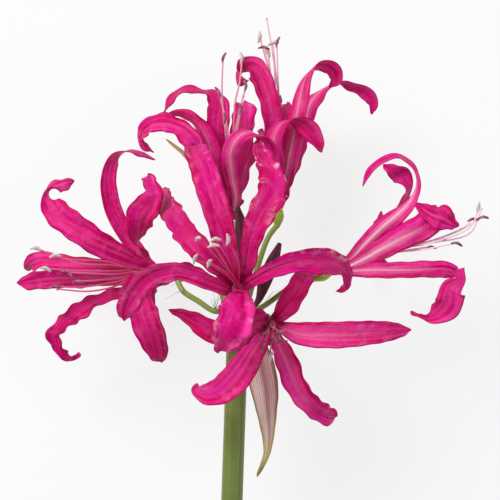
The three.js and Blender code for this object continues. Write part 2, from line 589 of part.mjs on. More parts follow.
function tepalsSolid(floret, seed) {
  const { throat, facing } = throatOf(floret);
  const from = throat.clone().addScaledVector(facing, -TUBE_LENGTH);
  const tube = [[...from.toArray(), TUBE_FOOT_RADIUS], [...throat.toArray(), TUBE_RADIUS]];
  const blades = floret.tepals.map((rows, i) => {
    const ruffle = RUFFLE * floret.crisp[i];
    return bladeSolid(bladeGrid(tepalKnots(floret, rows), BLADE_CUP, ruffle, seed + i), BLADE);
  });
  const folded = (floret.flaps ?? []).map((rows, i) => (
    bladeSolid(bladeGrid(placedRows(rows), BLADE_CUP, FLAP_RUFFLE, seed + i), BLADE)));
  return union([rodSolid(tube, 8, 1), ...blades, ...folded]);
}

// The places in a ring, in order round the axis, that suit where the filaments end.
function ringOrder(rows, across, up) {
  const ends = rows.map(([points]) => place(points.at(-1)));
  const middle = new THREE.Vector3();
  ends.forEach((end) => middle.addScaledVector(end, 1 / ends.length));
  const bearing = ends.map((end) => {
    const out = end.sub(middle);
    return Math.atan2(out.dot(up), out.dot(across));
  });
  const order = bearing.map((angle, i) => i).sort((a, b) => bearing[a] - bearing[b]);
  return rows.map((row, i) => bearing[order[0]] + (2 * Math.PI * order.indexOf(i)) / rows.length);
}

function stamensSolid(floret, { together, rows }) {
  const { throat, facing } = throatOf(floret);
  const ahead = (distance) => throat.clone().addScaledVector(facing, distance);
  const across = squareTo(EYE, facing);
  const up = new THREE.Vector3().crossVectors(facing, across);
  const plug = [SEAT_GAP, PLUG_TOP].map((distance) => [...ahead(distance).toArray(), PLUG_RADIUS]);
  const pieces = [rodSolid(plug, 7, 1)];
  const angles = ringOrder(rows, across, up);
  rows.forEach(([points, anther], i) => {
    const offset = across.clone().multiplyScalar(FILAMENT_RING * Math.cos(angles[i]));
    offset.addScaledVector(up, FILAMENT_RING * Math.sin(angles[i]));
    const gathered = [ahead(FILAMENT_START), ...together.map(place)];
    const passed = [...gathered.map((point) => point.add(offset)), ...points.map(place)];
    const knots = passed.map((point) => [...point.toArray(), FILAMENT_RADIUS]);
    pieces.push(rodSolid(knots, 3, knots.length));
    if (anther) pieces.push(antherSolid(place(points.at(-1)), new THREE.Vector3(...anther)));
  });
  return union(pieces);
}

// A small crescent balanced on the filament's end.
function antherSolid(middle, pointing) {
  const along = pointing.normalize();
  const bow = squareTo(new THREE.Vector3(0.2, 1, 0.1), along).multiplyScalar(-ANTHER_SAG);
  const tip = (side) => middle.clone().addScaledVector(along, (side * ANTHER_LENGTH) / 2).add(bow);
  return rodSolid([
    [...tip(-1).toArray(), ANTHER_TIP_RADIUS],
    [...middle.toArray(), ANTHER_RADIUS],
    [...tip(1).toArray(), ANTHER_TIP_RADIUS],
  ], 3, 2);
}

// A place on the scape's top, at an angle from the right toward the eye and out from the axis.
function ringPlace(stands, out) {
  const angle = THREE.MathUtils.degToRad(stands);
  return new THREE.Vector3(out * Math.cos(angle), SEAT_GAP, out * Math.sin(angle));
}

function pedicelSolid(floret, { stands, route }) {
  const { throat, facing } = throatOf(floret);
  const behind = (distance) => (
    throat.clone().addScaledVector(facing, -TUBE_LENGTH - SEAT_GAP - distance).toArray());
  const foot = ringPlace(stands, STALK_RING);
  const risen = ringPlace(stands, STALK_RING * 1.1);
  const knots = [
    [...foot.toArray(), STALK_RADIUS],
    [risen.x, risen.y + STALK_RING, risen.z, STALK_RADIUS],
    ...placedRows(route.map((point) => [...point, STALK_RADIUS])),
    [...behind(OVARY_LENGTH), STALK_RADIUS],
  ];
  const stalk = rodSolid(knots, 6, 3 + 2 * route.length);
  const ovary = rodSolid([
    [...behind(OVARY_LENGTH + 1), 0.85 * STALK_RADIUS],
    [...behind(0.5 * OVARY_LENGTH), OVARY_RADIUS],
    [...behind(0), TUBE_FOOT_RADIUS],
  ], 8, 4);
  return union([stalk, ovary]);
}

// The scape is even down to its cut end and swells a little at its top.
function scapeSolid() {
  const lean = THREE.MathUtils.degToRad(SCAPE_LEAN_DEG);
  const along = new THREE.Vector3(Math.sin(lean), Math.cos(lean), 0);
  const below = (distance, radius) => [...along.clone().multiplyScalar(-distance).toArray(), radius];
  return rodSolid([
    below(SCAPE_LENGTH, SCAPE_RADIUS),
    below(0.5 * SCAPE_LENGTH, SCAPE_RADIUS),
    below(20, SCAPE_RADIUS),
    below(6, 1.02 * SCAPE_RADIUS),
    below(0, SCAPE_NECK_RADIUS),
  ], 20, 5);
}

function spatheSolid(rows) {
  return bladeSolid(bladeGrid(placedRows(rows), PAPER_CUP, PAPER_RUFFLE, 2), PAPER);
}

function budSolid({ stands, out, rows }) {
  const foot = [...ringPlace(stands, out).toArray(), BUD_STALK_RADIUS];
  return rodSolid([foot, ...placedRows(rows)], 6, 10);
}

const nerine = new THREE.Group();
nerine.name = 'nerine_stem';

const lying = new THREE.Matrix4().makeTranslation(0, 0, LIE_HEIGHT)
  .multiply(new THREE.Matrix4().makeRotationX(THREE.MathUtils.degToRad(LIE_DEG)));

// Lays a solid down, presses flat what would reach below the surface, and adds it as a mesh.
function addNode(name, solid, [colour, roughness]) {
  const surface = solid.transform(lying.elements).trimByPlane([0, 0, 1], 0).getMesh();
  const places = [];
  for (let i = 0; i < surface.vertProperties.length; i += surface.numProp) {
    places.push(...surface.vertProperties.slice(i, i + 3));
  }
  const geometry = new THREE.BufferGeometry();
  geometry.setAttribute('position', new THREE.Float32BufferAttribute(places, 3));
  geometry.setIndex(Array.from(surface.triVerts));
  const shape = mergeVertices(geometry, 1e-4);
  shape.computeVertexNormals();
  const material = new THREE.MeshStandardMaterial({ color: colour, roughness, metalness: 0 });
  const mesh = new THREE.Mesh(shape, material);
  mesh.name = name;
  nerine.add(mesh);
}

addNode('scape', scapeSolid(), COLOURS.scape);
addNode('spathe_front', spatheSolid(SPATHES.front), COLOURS.spathe);
addNode('spathe_back', spatheSolid(SPATHES.back), COLOURS.spathe);
addNode('bud_right', budSolid(BUDS.right), COLOURS.bud);
addNode('bud_middle', budSolid(BUDS.middle), COLOURS.bud);
Object.entries(FLORETS).forEach(([name, floret], i) => {
  addNode(`${name}_tepals`, tepalsSolid(floret, 10 * i), COLOURS.tepals);
  addNode(`${name}_stamens`, stamensSolid(floret, STAMENS[name]), COLOURS.stamens);
  addNode(`${name}_pedicel`, pedicelSolid(floret, PEDICELS[name]), COLOURS.pedicel);
});

// The middle of the space the stem takes up, at the surface, is the origin.
const taken = new THREE.Box3().setFromObject(nerine);
const middle = taken.getCenter(new THREE.Vector3());
nerine.children.forEach((mesh) => mesh.geometry.translate(-middle.x, -middle.y, 0));

export default nerine;
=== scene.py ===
from math import atan2, cos, exp, hypot, pi, radians, sin, sqrt

import bpy
from mathutils import Matrix, Vector, noise


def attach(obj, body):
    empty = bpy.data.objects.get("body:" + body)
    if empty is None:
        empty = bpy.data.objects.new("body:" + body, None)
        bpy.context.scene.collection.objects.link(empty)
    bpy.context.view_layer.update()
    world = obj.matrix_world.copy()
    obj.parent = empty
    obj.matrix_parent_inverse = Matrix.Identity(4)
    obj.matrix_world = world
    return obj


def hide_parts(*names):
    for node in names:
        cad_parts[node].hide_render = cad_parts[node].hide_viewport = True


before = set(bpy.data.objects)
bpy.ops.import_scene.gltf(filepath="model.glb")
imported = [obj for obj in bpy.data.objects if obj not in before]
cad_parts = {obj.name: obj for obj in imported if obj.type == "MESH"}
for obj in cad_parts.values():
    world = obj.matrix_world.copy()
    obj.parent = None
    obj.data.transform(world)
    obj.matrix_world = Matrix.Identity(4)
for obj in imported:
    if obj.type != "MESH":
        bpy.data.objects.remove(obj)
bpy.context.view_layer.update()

# A cut nerine stem lying on its back on a pale surface. The umbel is drawn as it is seen from
# straight in front of it. A place is given as [across, down, near]: across and down on a square
# drawing grid, near in millimetres toward the eye from the scape's axis.
GRID = 0.37  # millimetres in one unit of the grid
UMBEL_ACROSS = 238  # the scape's top on the grid
UMBEL_DOWN = 322
UMBEL_AT = (-5.368, 106.584, 43.9)  # where the scape's top lies, in millimetres
LIE_DEG = 7.03  # how steeply the scape rises from its cut end
LYING = Matrix.Translation(UMBEL_AT) @ Matrix.Rotation(radians(LIE_DEG), 4, "X")
EYE = Vector((0, 0, 1))
MM = 0.001  # metres in a millimetre

# Driving dimensions in millimetres
SCAPE_LENGTH = 330
SCAPE_LEAN_DEG = 1.95
SCAPE_RADIUS = 4.0
SCAPE_NECK_RADIUS = 4.6
SCAPE_NECK_FROM = 20  # the scape swells over this much of its top
SCAPE_NECK_TO = 6
STALK_RING = 3.4
STALK_RADIUS = 1.05
OVARY_RADIUS = 2
OVARY_LENGTH = 6
TUBE_LENGTH = 4.5
TUBE_FOOT_RADIUS = 1.3
TUBE_RADIUS = 2.6
MOUTH_RADIUS = 2.8
BLADE = 0.5  # thickness of a tepal at its midrib
BLADE_ROOT_DEPTH = 2.7
BLADE_ROOT_OUT = 0.7
BLADE_ROOT_BREADTH = 2.2
BLADE_MOUTH_BREADTH = 3
BLADE_CUP = 0.1  # how far its edges rise, in its breadth
RUFFLE = 0.9  # how far a crisped edge leaves the blade
FLAP_RUFFLE = 1.3  # and how far the edge of a folded end does
CRIMP = 0.15  # height of the small crimps along the first third of an edge
CRIMP_PITCH = 2.9  # and the distance from one to the next
SWELL = 0.45  # height of a blade's uneven swellings
SWELL_PITCH = 6.5  # and their size
GROOVE = 0.18  # depth of the groove along a tepal's middle
PAPER = 0.35  # thickness of a spathe valve
PAPER_CUP = -0.16
PAPER_RUFFLE = 0.15
STATION_STEP = 5.1  # from one turn of a ruffle to the next
FILAMENT_RADIUS = 0.4
FILAMENT_START = 1.2
FILAMENT_RING = 1.05
PLUG_RADIUS = 1.5
PLUG_TOP = 2
ANTHER_LENGTH = 4.4
ANTHER_RADIUS = 0.8
OLD_ANTHER_RADIUS = 0.62
ANTHER_TIP_RADIUS = 0.3
ANTHER_SAG = 0.7
STIGMA_LENGTH = 0.9
STIGMA_SPREAD = 0.5
STIGMA_RADIUS = 0.25
STIGMA_TIP_RADIUS = 0.15
BUD_STALK_RADIUS = 0.6
HAIR_RADIUS = 0.07
LEAST_RADIUS = 0.05
SEAT_GAP = 0.3  # between pieces that touch in life

# How finely the pieces are made
STEPS_IN_STATION = 8
LANES = 15
ROD_SIDES = 12
ROUND_SIDES = 24

# Shares of a blade's length
RUFFLE_FULL = 0.55  # the ruffle has its full height from here on
TIP_FROM = 0.94  # the tip is rounded from here on
PALE_TO = 0.8  # a tepal's pale midrib fades out here
THROAT_SHADE_REACH = 0.16  # and the painted shade of the throat reaches about here

# How a blade's surface wanders
LEAST_WAVES = 6  # along its length
UNEVEN = 0.3  # share by which its ruffles differ in height
UNEVEN_LIFT = 2.1  # turn from one ruffle's height to the next's
UNEVEN_REACH = 1.7
EDGE_WAVE = 0.6  # how far an edge strays sideways, in the ruffle's height
EDGE_SLIM = 0.55  # how much thinner the edge is than the midrib
GROOVE_BREADTH = 0.22  # of half the blade
TIP_SQUARE = 0.02  # the square of the breadth that the very end keeps
SWELL_MIDRIB = 0.4  # the swellings' height at the midrib, 1 less than at the edge

# Tones: how pale the midrib is, how dry the edges are and how deep the colour is, painted throat shade
# included
PLAIN = (0, 0, 0)
TUBE_TONE = (1, 0, 0.2)
FLAP_TONE = (0, 0, 0.2)
THROAT_PAINTED_SHADE = 0.45  # painted shade: how much deeper the colour is painted in the throat, where shade falls

# Places in the lists of materials
ONLY = 0
INNER, OUTER = 0, 1
FILAMENT, PALE, DARK = 0, 1, 2
STALK, OVARY = 0, 1

# Patterns in the materials, in cells to the metre
BLOTCHES = 260
MOTTLE = 320
PUCKERS = 330
PATCHES = 500
THREAD_GRAIN = 1500
POLLEN = 2400
GRAIN = 2600

# Camera, in millimetres and on the grid
CAMERA_DISTANCE = 2500
VIEW_MIDDLE = 250
VIEW_UNITS = 500

# Lamps and floor, in metres and watts
LAMPS = {
    "key": {"at": (-0.7, 0.8, 1.1), "size": 0.7, "power": 20},
    "fill": {"at": (0.9, -0.2, 1.0), "size": 1.2, "power": 4},
}
SKY = 0.33  # strength of the even light from all round
FLOOR_REACH = 6.0
FLOOR_SHADE = 0.16
FLOOR_GLOW = 0.79  # the floor glows a little, so the shadows on it stay faint

# Each open floret: the throat, the way it faces (across, up, near), and for each of its tepals
# how ruffled it is, how pale its midrib, how deep its colour and how dry its edge. Its filaments
# pass the points in together side by side, as pale as filaments says. Its pedicel stands on the
# ring, in degrees from the right toward the eye, and follows the route.
FLORETS = {
    "centre": {
        "throat": [238, 288, 26], "facing": [0, 0.35, 0.94],
        "crisp": [1, 0.5, 1.2, 0.7, 0.9, 1.6], "pale": [0, 0, 0, 0.1, 0.1, 0],
        "deep": [0.5, 0.35, 0.4, 0, 0.1, 0.05], "dry": [0.05, 0.1, 1, 0.7, 0.2, 0.4],
        "together": [[236, 280, 34]], "filaments": 0,
        "stands": 98, "route": [[240, 308, 8]],
    },
    "lower_right": {
        "throat": [271, 323, 15], "facing": [0.2, -0.2, 0.96],
        "crisp": [0.6, 0.4, 1, 0.35, 0.7, 1], "pale": [0, 0.2, 0.75, 0.8, 0, 0],
        "deep": [0.6, 0.15, 0.1, 0.05, 0.6, 0.5], "dry": [0, 0.05, 0.05, 0.1, 0, 0.1],
        "together": [[272, 328, 24]], "filaments": 0.2,
        "stands": 62, "route": [[252, 321, 7]],
    },
    "left": {
        "throat": [153, 273, 2], "facing": [-0.75, 0.05, 0.66],
        "crisp": [0.9, 1.2, 0.5, 0.7, 1.8, 0.6], "pale": [0.05, 0.1, 0.5, 0.4, 0.15, 0.1],
        "deep": [0.1, 0.2, 0.15, 0.15, 0.1, 0.35], "dry": [0, 0.05, 0.05, 0.1, 0.05, 0.05],
        "together": [[142, 272, 9]], "filaments": 0.1,
        "stands": 175, "route": [[214, 311, 0], [198, 301, -1], [183, 291, -2]],
    },
    "back_left": {
        "throat": [165, 277, -16], "facing": [-0.7, 0, -0.7],
        "crisp": [0.15, 1, 1, 1, 1, 1], "pale": [0.1, 0, 0, 0, 0, 0],
        "deep": [0.05, 0.5, 0.5, 0.6, 0.4, 0.4], "dry": [0, 0, 0, 0, 0, 0],
        "together": [[148, 279, -23]], "filaments": 0.3,
        "stands": 218, "route": [[226, 299, -7], [208, 280, -9]],
    },
    "upper_left": {
        "throat": [232, 208, -12], "facing": [-0.15, 0.97, 0],
        "crisp": [0.8, 0.5, 1, 1, 0.25, 0.6], "pale": [0.1, 0.25, 0.1, 0.2, 0.5, 0.35],
        "deep": [0.4, 0.3, 0.1, 0.2, 0.15, 0.25], "dry": [0, 0, 0.05, 0, 0.05, 0],
        "together": [[232, 178, -10], [232, 153, -4]], "filaments": 0.4,
        "stands": 285, "route": [[241, 290, -8], [238, 252, -12]],
    },
    "top": {
        "throat": [281, 196, -19], "facing": [0.12, 0.97, -0.1],
        "crisp": [0.3, 0.5, 0.8, 0.3, 1, 1], "pale": [0.45, 0.45, 0.2, 0.3, 0.2, 0.2],
        "deep": [0.15, 0.25, 0.35, 0.2, 0.3, 0.35], "dry": [0, 0, 0, 0, 0, 0],
        "together": [[281, 160, -18], [279, 124, -17]], "filaments": 0.7,
        "stands": 320, "route": [[254, 280, -9], [268, 238, -16]],
    },
    "right": {
        "throat": [342, 268, 2], "facing": [0.9, 0.35, 0.1],
        "crisp": [0.2, 0.8, 0.4, 0.4, 1, 1], "pale": [0.9, 0.35, 1, 0.55, 0.1, 0.1],
        "deep": [0, 0.15, 0, 0, 0.3, 0.3], "dry": [0, 0, 0.05, 0, 0, 0],
        "together": [[356, 262, 2], [386, 252, 3]], "filaments": 1,
        "stands": 355, "route": [[262, 307, 1], [290, 288, 2]],
    },
}

# Six tepals to a floret, each in rows from the mouth to the tip: [across, down, near, breadth,
# turn]. Breadth is in millimetres. Turn is how far, in degrees, the blade's inner face is turned
# from the eye: 0 shows the inner face, 90 the edge and 180 the back. A row without it has 0.
TEPALS = {
    "centre": [
        [[224, 273, 31, 5], [203, 252, 34, 8.4, -10], [184, 229, 25, 9, -15], [168, 207, 7, 8.4, -15],
         [161, 195, -5, 7, -10], [158, 188, -13, 3]],
        [[233, 268, 32, 5.5], [225, 240, 37, 8.8, 5], [216, 209, 38, 10, 8], [208, 182, 34, 10.2, 5],
         [202, 165, 28, 9.6, 5], [197, 152, 21, 8.6], [196, 146, 13, 7]],
        [[246, 268, 31, 5.5], [252, 240, 35, 7.4], [261, 214, 35, 10.2], [271, 193, 32, 10.4],
         [272, 177, 29, 9.4], [265, 163, 24, 7, 10], [260, 152, 20, 6, 10], [259, 144, 15, 4.4, 10]],
        [[252, 281, 31, 4.4], [272, 269, 35, 6.5, 20], [296, 261, 36, 8.5, 25], [319, 260, 34, 10.4, 20],
         [334, 263, 30, 9, 15], [344, 271, 24, 5, 10], [347, 281, 20, 3], [343, 289, 17, 2.4, -10],
         [336, 291, 15, 1.2, -20]],
        [[224, 288, 31, 4.6], [205, 280, 35, 6, -10], [182, 271, 37, 7, -20], [158, 273, 36, 8.5, -25],
         [142, 283, 33, 9.8, -15], [132, 297, 29, 9.2, -5], [126, 312, 25, 6], [125, 320, 22, 1.8]],
        [[240, 293, 32, 6], [239, 303, 42, 11], [237, 316, 48, 13.6], [230, 330, 48, 13],
         [224, 342, 44, 8.6], [221, 349, 39, 3.6]],
    ],
    "lower_right": [
        [[259, 325, 19, 4.5], [238, 330, 23, 7.5], [214, 331, 26, 8.5], [199, 322, 24, 7],
         [185, 315, 20, 4.2], [170, 310, 15, 1.4]],
        [[264, 335, 20, 5], [252, 353, 25, 8.8], [238, 374, 27, 11, 5], [221, 389, 26, 10, 5],
         [206, 393, 23, 7.5], [197, 389, 18, 3.6], [197, 383, 14, 1.4]],
        [[276, 339, 19, 5], [287, 362, 23, 8.4], [298, 388, 24, 8], [311, 405, 22, 7.6],
         [324, 413, 17, 7.4], [335, 416, 11, 5]],
        [[285, 328, 18, 5], [300, 333, 22, 8.4], [330, 334, 23, 9.8], [360, 333, 21, 9.2],
         [384, 331, 17, 7.6], [399, 330, 13, 5], [410, 330, 10, 1.2]],
        [[279, 315, 19, 5], [287, 305, 22, 8.2], [296, 291, 19, 8], [303, 277, 13, 7.4], [305, 266, 5, 6],
         [304, 262, -4, 2.4]],
        [[264, 318, 22, 4.5], [256, 318, 30, 7], [248, 323, 36, 8.4], [242, 333, 38, 8], [238, 343, 35, 5],
         [236, 347, 30, 2]],
    ],
    "left": [
        [[140, 264, 3, 4.6], [117, 253, 8, 8.4], [92, 239, 12, 9.6], [70, 223, 13, 10],
         [57, 211, 12, 9.6, 5], [50, 201, 10, 7, 30], [49, 193, 6, 4.6, 80], [54, 187, 3, 6, 130],
         [64, 183, 1, 5.6, 150], [74, 181, -1, 2.2, 160]],
        [[145, 259, 0, 4.4, 180], [138, 245, 2, 6, 100], [139, 229, 6, 9, 20], [143, 213, 10, 10.6],
         [150, 202, 11, 9.4], [153, 190, 11, 6], [150, 182, 9, 5], [148, 176, 6, 5.6]],
        [[139, 270, -2, 4.4], [116, 268, 0, 5.4, 30], [87, 265, 3, 6.4, 40], [60, 263, 4, 7, 40],
         [41, 261, 3, 7.4, 30], [30, 265, -2, 6, 10], [29, 270, -8, 2.4]],
        [[139, 278, 0, 4.4, -10], [113, 279, 4, 5.4, -30], [82, 279, 9, 6, -30], [53, 279, 11, 7.2, -20],
         [32, 281, 9, 6.4, -10], [18, 283, 6, 1.8]],
        [[141, 285, -2, 4.4, -20], [121, 292, 0, 4.6, -10], [97, 301, 1, 4.4], [82, 309, 1, 6.6],
         [70, 316, 0, 6], [61, 325, -2, 5], [54, 337, -4, 5], [58, 348, -6, 3.8, 10],
         [64, 357, -8, 3.2, 20], [73, 359, -9, 2.6, 20], [79, 353, -9, 1.4, 20]],
        [[147, 287, 5, 4.8], [141, 299, 8, 8.6], [145, 317, 10, 10.8], [153, 337, 10, 10.2],
         [158, 352, 7, 7.6], [160, 361, 3, 4]],
    ],
    "back_left": [
        [[150, 266, -15, 4.4, 20], [137, 251, -15, 5.6, 20], [124, 234, -14, 6.6, 25],
         [111, 206, -12, 7, 25], [107, 181, -11, 6.8, 30], [113, 158, -14, 6, 50], [127, 150, -18, 5, 100],
         [141, 152, -21, 4, 120], [154, 159, -24, 1.4, 120]],
        [[149, 268, -21, 4.4], [127, 261, -27, 7], [103, 247, -31, 7.6], [81, 232, -34, 7.6],
         [65, 218, -37, 6], [57, 209, -41, 2]],
        [[148, 274, -16, 4.4], [124, 273, -21, 6.2], [98, 271, -26, 6.4], [74, 271, -31, 6],
         [54, 270, -35, 2]],
        [[171, 271, -26, 4.4], [182, 270, -32, 5.6], [195, 275, -36, 5.6], [206, 280, -39, 5],
         [213, 284, -40, 2]],
        [[154, 286, -22, 4.4], [145, 299, -28, 7], [146, 316, -32, 8], [151, 335, -35, 7.6],
         [155, 349, -39, 4], [156, 354, -42, 1.6]],
        [[167, 277, -27, 4.4], [166, 275, -36, 6.6], [160, 275, -43, 8], [149, 276, -46, 8],
         [137, 277, -46, 6], [127, 277, -43, 2]],
    ],
    "upper_left": [
        [[224, 196, -15, 4.6], [221, 172, -13, 7.6], [218, 148, -10, 8.6], [217, 122, -8, 8.6],
         [218, 104, -9, 8, 10], [211, 94, -11, 5.6, 55], [198, 91, -12, 4.6, 60], [184, 90, -12, 6, 58],
         [173, 97, -12, 5, 60], [164, 111, -12, 2.4, 60]],
        [[223, 197, -10, 4.4, 150], [216, 176, -6, 6, 150], [212, 154, -4, 6.8, 150],
         [206, 135, -4, 6.8, 150], [196, 121, -4, 5.8, 140], [184, 114, -5, 4.6, 130],
         [173, 114, -6, 3.6, 130], [163, 119, -6, 1.6, 130]],
        [[225, 199, -6, 4.4], [211, 180, 0, 6, 10], [200, 158, 2, 7, 10], [190, 138, 3, 7.6, 10],
         [176, 127, 2, 6.8, 15], [159, 123, 0, 7.4, 20], [147, 127, -4, 6, 35], [141, 137, -7, 5, 50],
         [146, 147, -9, 3.4, 50], [153, 152, -10, 1.4, 50]],
        [[234, 196, -17, 4.6], [238, 172, -20, 7.4], [241, 146, -24, 8.4], [243, 122, -29, 8.6],
         [244, 106, -35, 8], [244, 100, -42, 2.4]],
        [[236, 196, -5, 4.4, 180], [232, 174, 0, 6, 180], [231, 152, 4, 6.6, 180], [238, 138, 6, 6.6, 150],
         [250, 133, 6, 6.2, 120], [262, 138, 5, 6.2, 60], [270, 149, 3, 5.6, 20], [274, 160, 1, 3],
         [275, 166, 0, 1.4]],
        [[239, 198, -13, 4.2, 60], [242, 182, -15, 5, 60], [247, 164, -17, 5.6, 60], [255, 148, -20, 6, 50],
         [262, 136, -26, 6, 30], [263, 129, -33, 2.4, 20]],
    ],
    "top": [
        [[285, 183, -14, 4.6, 180], [289, 158, -10, 6.2, 180], [295, 128, -8, 6.6, 170],
         [300, 100, -7, 6.4, 150], [307, 76, -8, 6, 120], [319, 64, -10, 6, 60], [332, 67, -13, 6, 20],
         [337, 78, -15, 4.6], [330, 86, -16, 2]],
        [[290, 184, -20, 4.6, 265], [296, 158, -20, 6, 220], [303, 128, -21, 6.4, 180],
         [312, 101, -23, 6.4, 150], [325, 87, -25, 6, 110], [341, 80, -26, 5.6, 80], [354, 84, -26, 6, 60],
         [366, 90, -26, 5.6, 40], [375, 101, -26, 4.4, 20], [373, 113, -26, 1.4, 10]],
        [[280, 183, -13, 4.6], [277, 158, -11, 6.4], [275, 130, -9, 7.6], [269, 100, -8, 7.6],
         [263, 80, -9, 7.8], [256, 68, -13, 8.6, -20], [245, 65, -17, 8.8, -50], [237, 70, -18, 7.6, -95],
         [239, 78, -16, 5.6, -130], [247, 80, -13, 2.4, -140]],
        [[281, 182, -10, 4.4, 180], [276, 160, -5, 6, 180], [274, 139, -3, 6.4, 170],
         [281, 125, -3, 6.4, 130], [292, 120, -3, 6, 70], [303, 124, -4, 7, 20], [312, 133, -5, 7],
         [319, 144, -6, 4], [322, 152, -7, 1.6]],
        [[281, 183, -24, 4.6], [283, 158, -28, 7], [285, 132, -32, 8], [286, 112, -37, 7.6],
         [287, 102, -44, 3]],
        [[285, 186, -25, 4.6], [292, 162, -28, 6.4], [300, 136, -32, 7], [306, 116, -37, 6.8],
         [309, 107, -43, 2.6]],
    ],
    "right": [
        [[350, 260, 5, 4.4, 180], [364, 245, 7, 5.6, 180], [381, 228, 9, 6.4, 180], [398, 214, 9, 6.6, 150],
         [411, 200, 7, 6.4, 120], [417, 183, 4, 6, 100], [412, 167, 0, 5.6, 80], [399, 157, -4, 5, 70],
         [385, 160, -6, 4.4, 60], [372, 169, -6, 3.4, 50], [363, 186, -5, 1.4, 50]],
        [[351, 260, -1, 4.4], [369, 247, -3, 5.6], [389, 229, -5, 6, 20], [402, 209, -6, 6.2, 40],
         [407, 192, -8, 5, 65], [403, 179, -11, 7.4, 10], [394, 170, -14, 5.4, 20], [384, 165, -16, 2, 30]],
        [[354, 264, 7, 4.6, 180], [376, 252, 10, 7.4, 180], [401, 238, 12, 9, 180],
         [420, 228, 12, 9.8, 180], [431, 221, 12, 9.4, 180], [438, 217, 12, 5, 180]],
        [[355, 271, 7, 4.4, 180], [378, 270, 11, 5.8, 180], [405, 270, 13, 6, 180],
         [430, 269, 13, 6.2, 180], [448, 270, 12, 6, 180], [457, 275, 11, 4, 180]],
        [[351, 262, -5, 4.4], [366, 251, -11, 6.4], [379, 238, -17, 8], [386, 227, -24, 9.2],
         [390, 222, -32, 8], [390, 221, -40, 2.6]],
        [[349, 266, -6, 4.4], [354, 265, -15, 6.6], [359, 264, -27, 8], [365, 264, -38, 8],
         [373, 264, -45, 7.4], [383, 265, -47, 6], [392, 266, -44, 2]],
    ],
}

# Ends of tepals that are folded over toward the eye, in rows from the fold to the tip
FLAPS = {
    "right": [
        [[415, 204, 12, 1.4], [424, 211, 13, 5.4], [433, 216, 14, 7.4], [441, 218, 14, 10],
         [449, 223, 13, 6], [457, 227, 12, 1.4]],
        [[457, 269, 11, 5], [459, 280, 12, 4], [450, 290, 12, 9.4], [448, 303, 11, 10.4],
         [437, 315, 9, 7.4], [424, 318, 7, 2], [411, 311, 5, 1.4]],
    ],
}

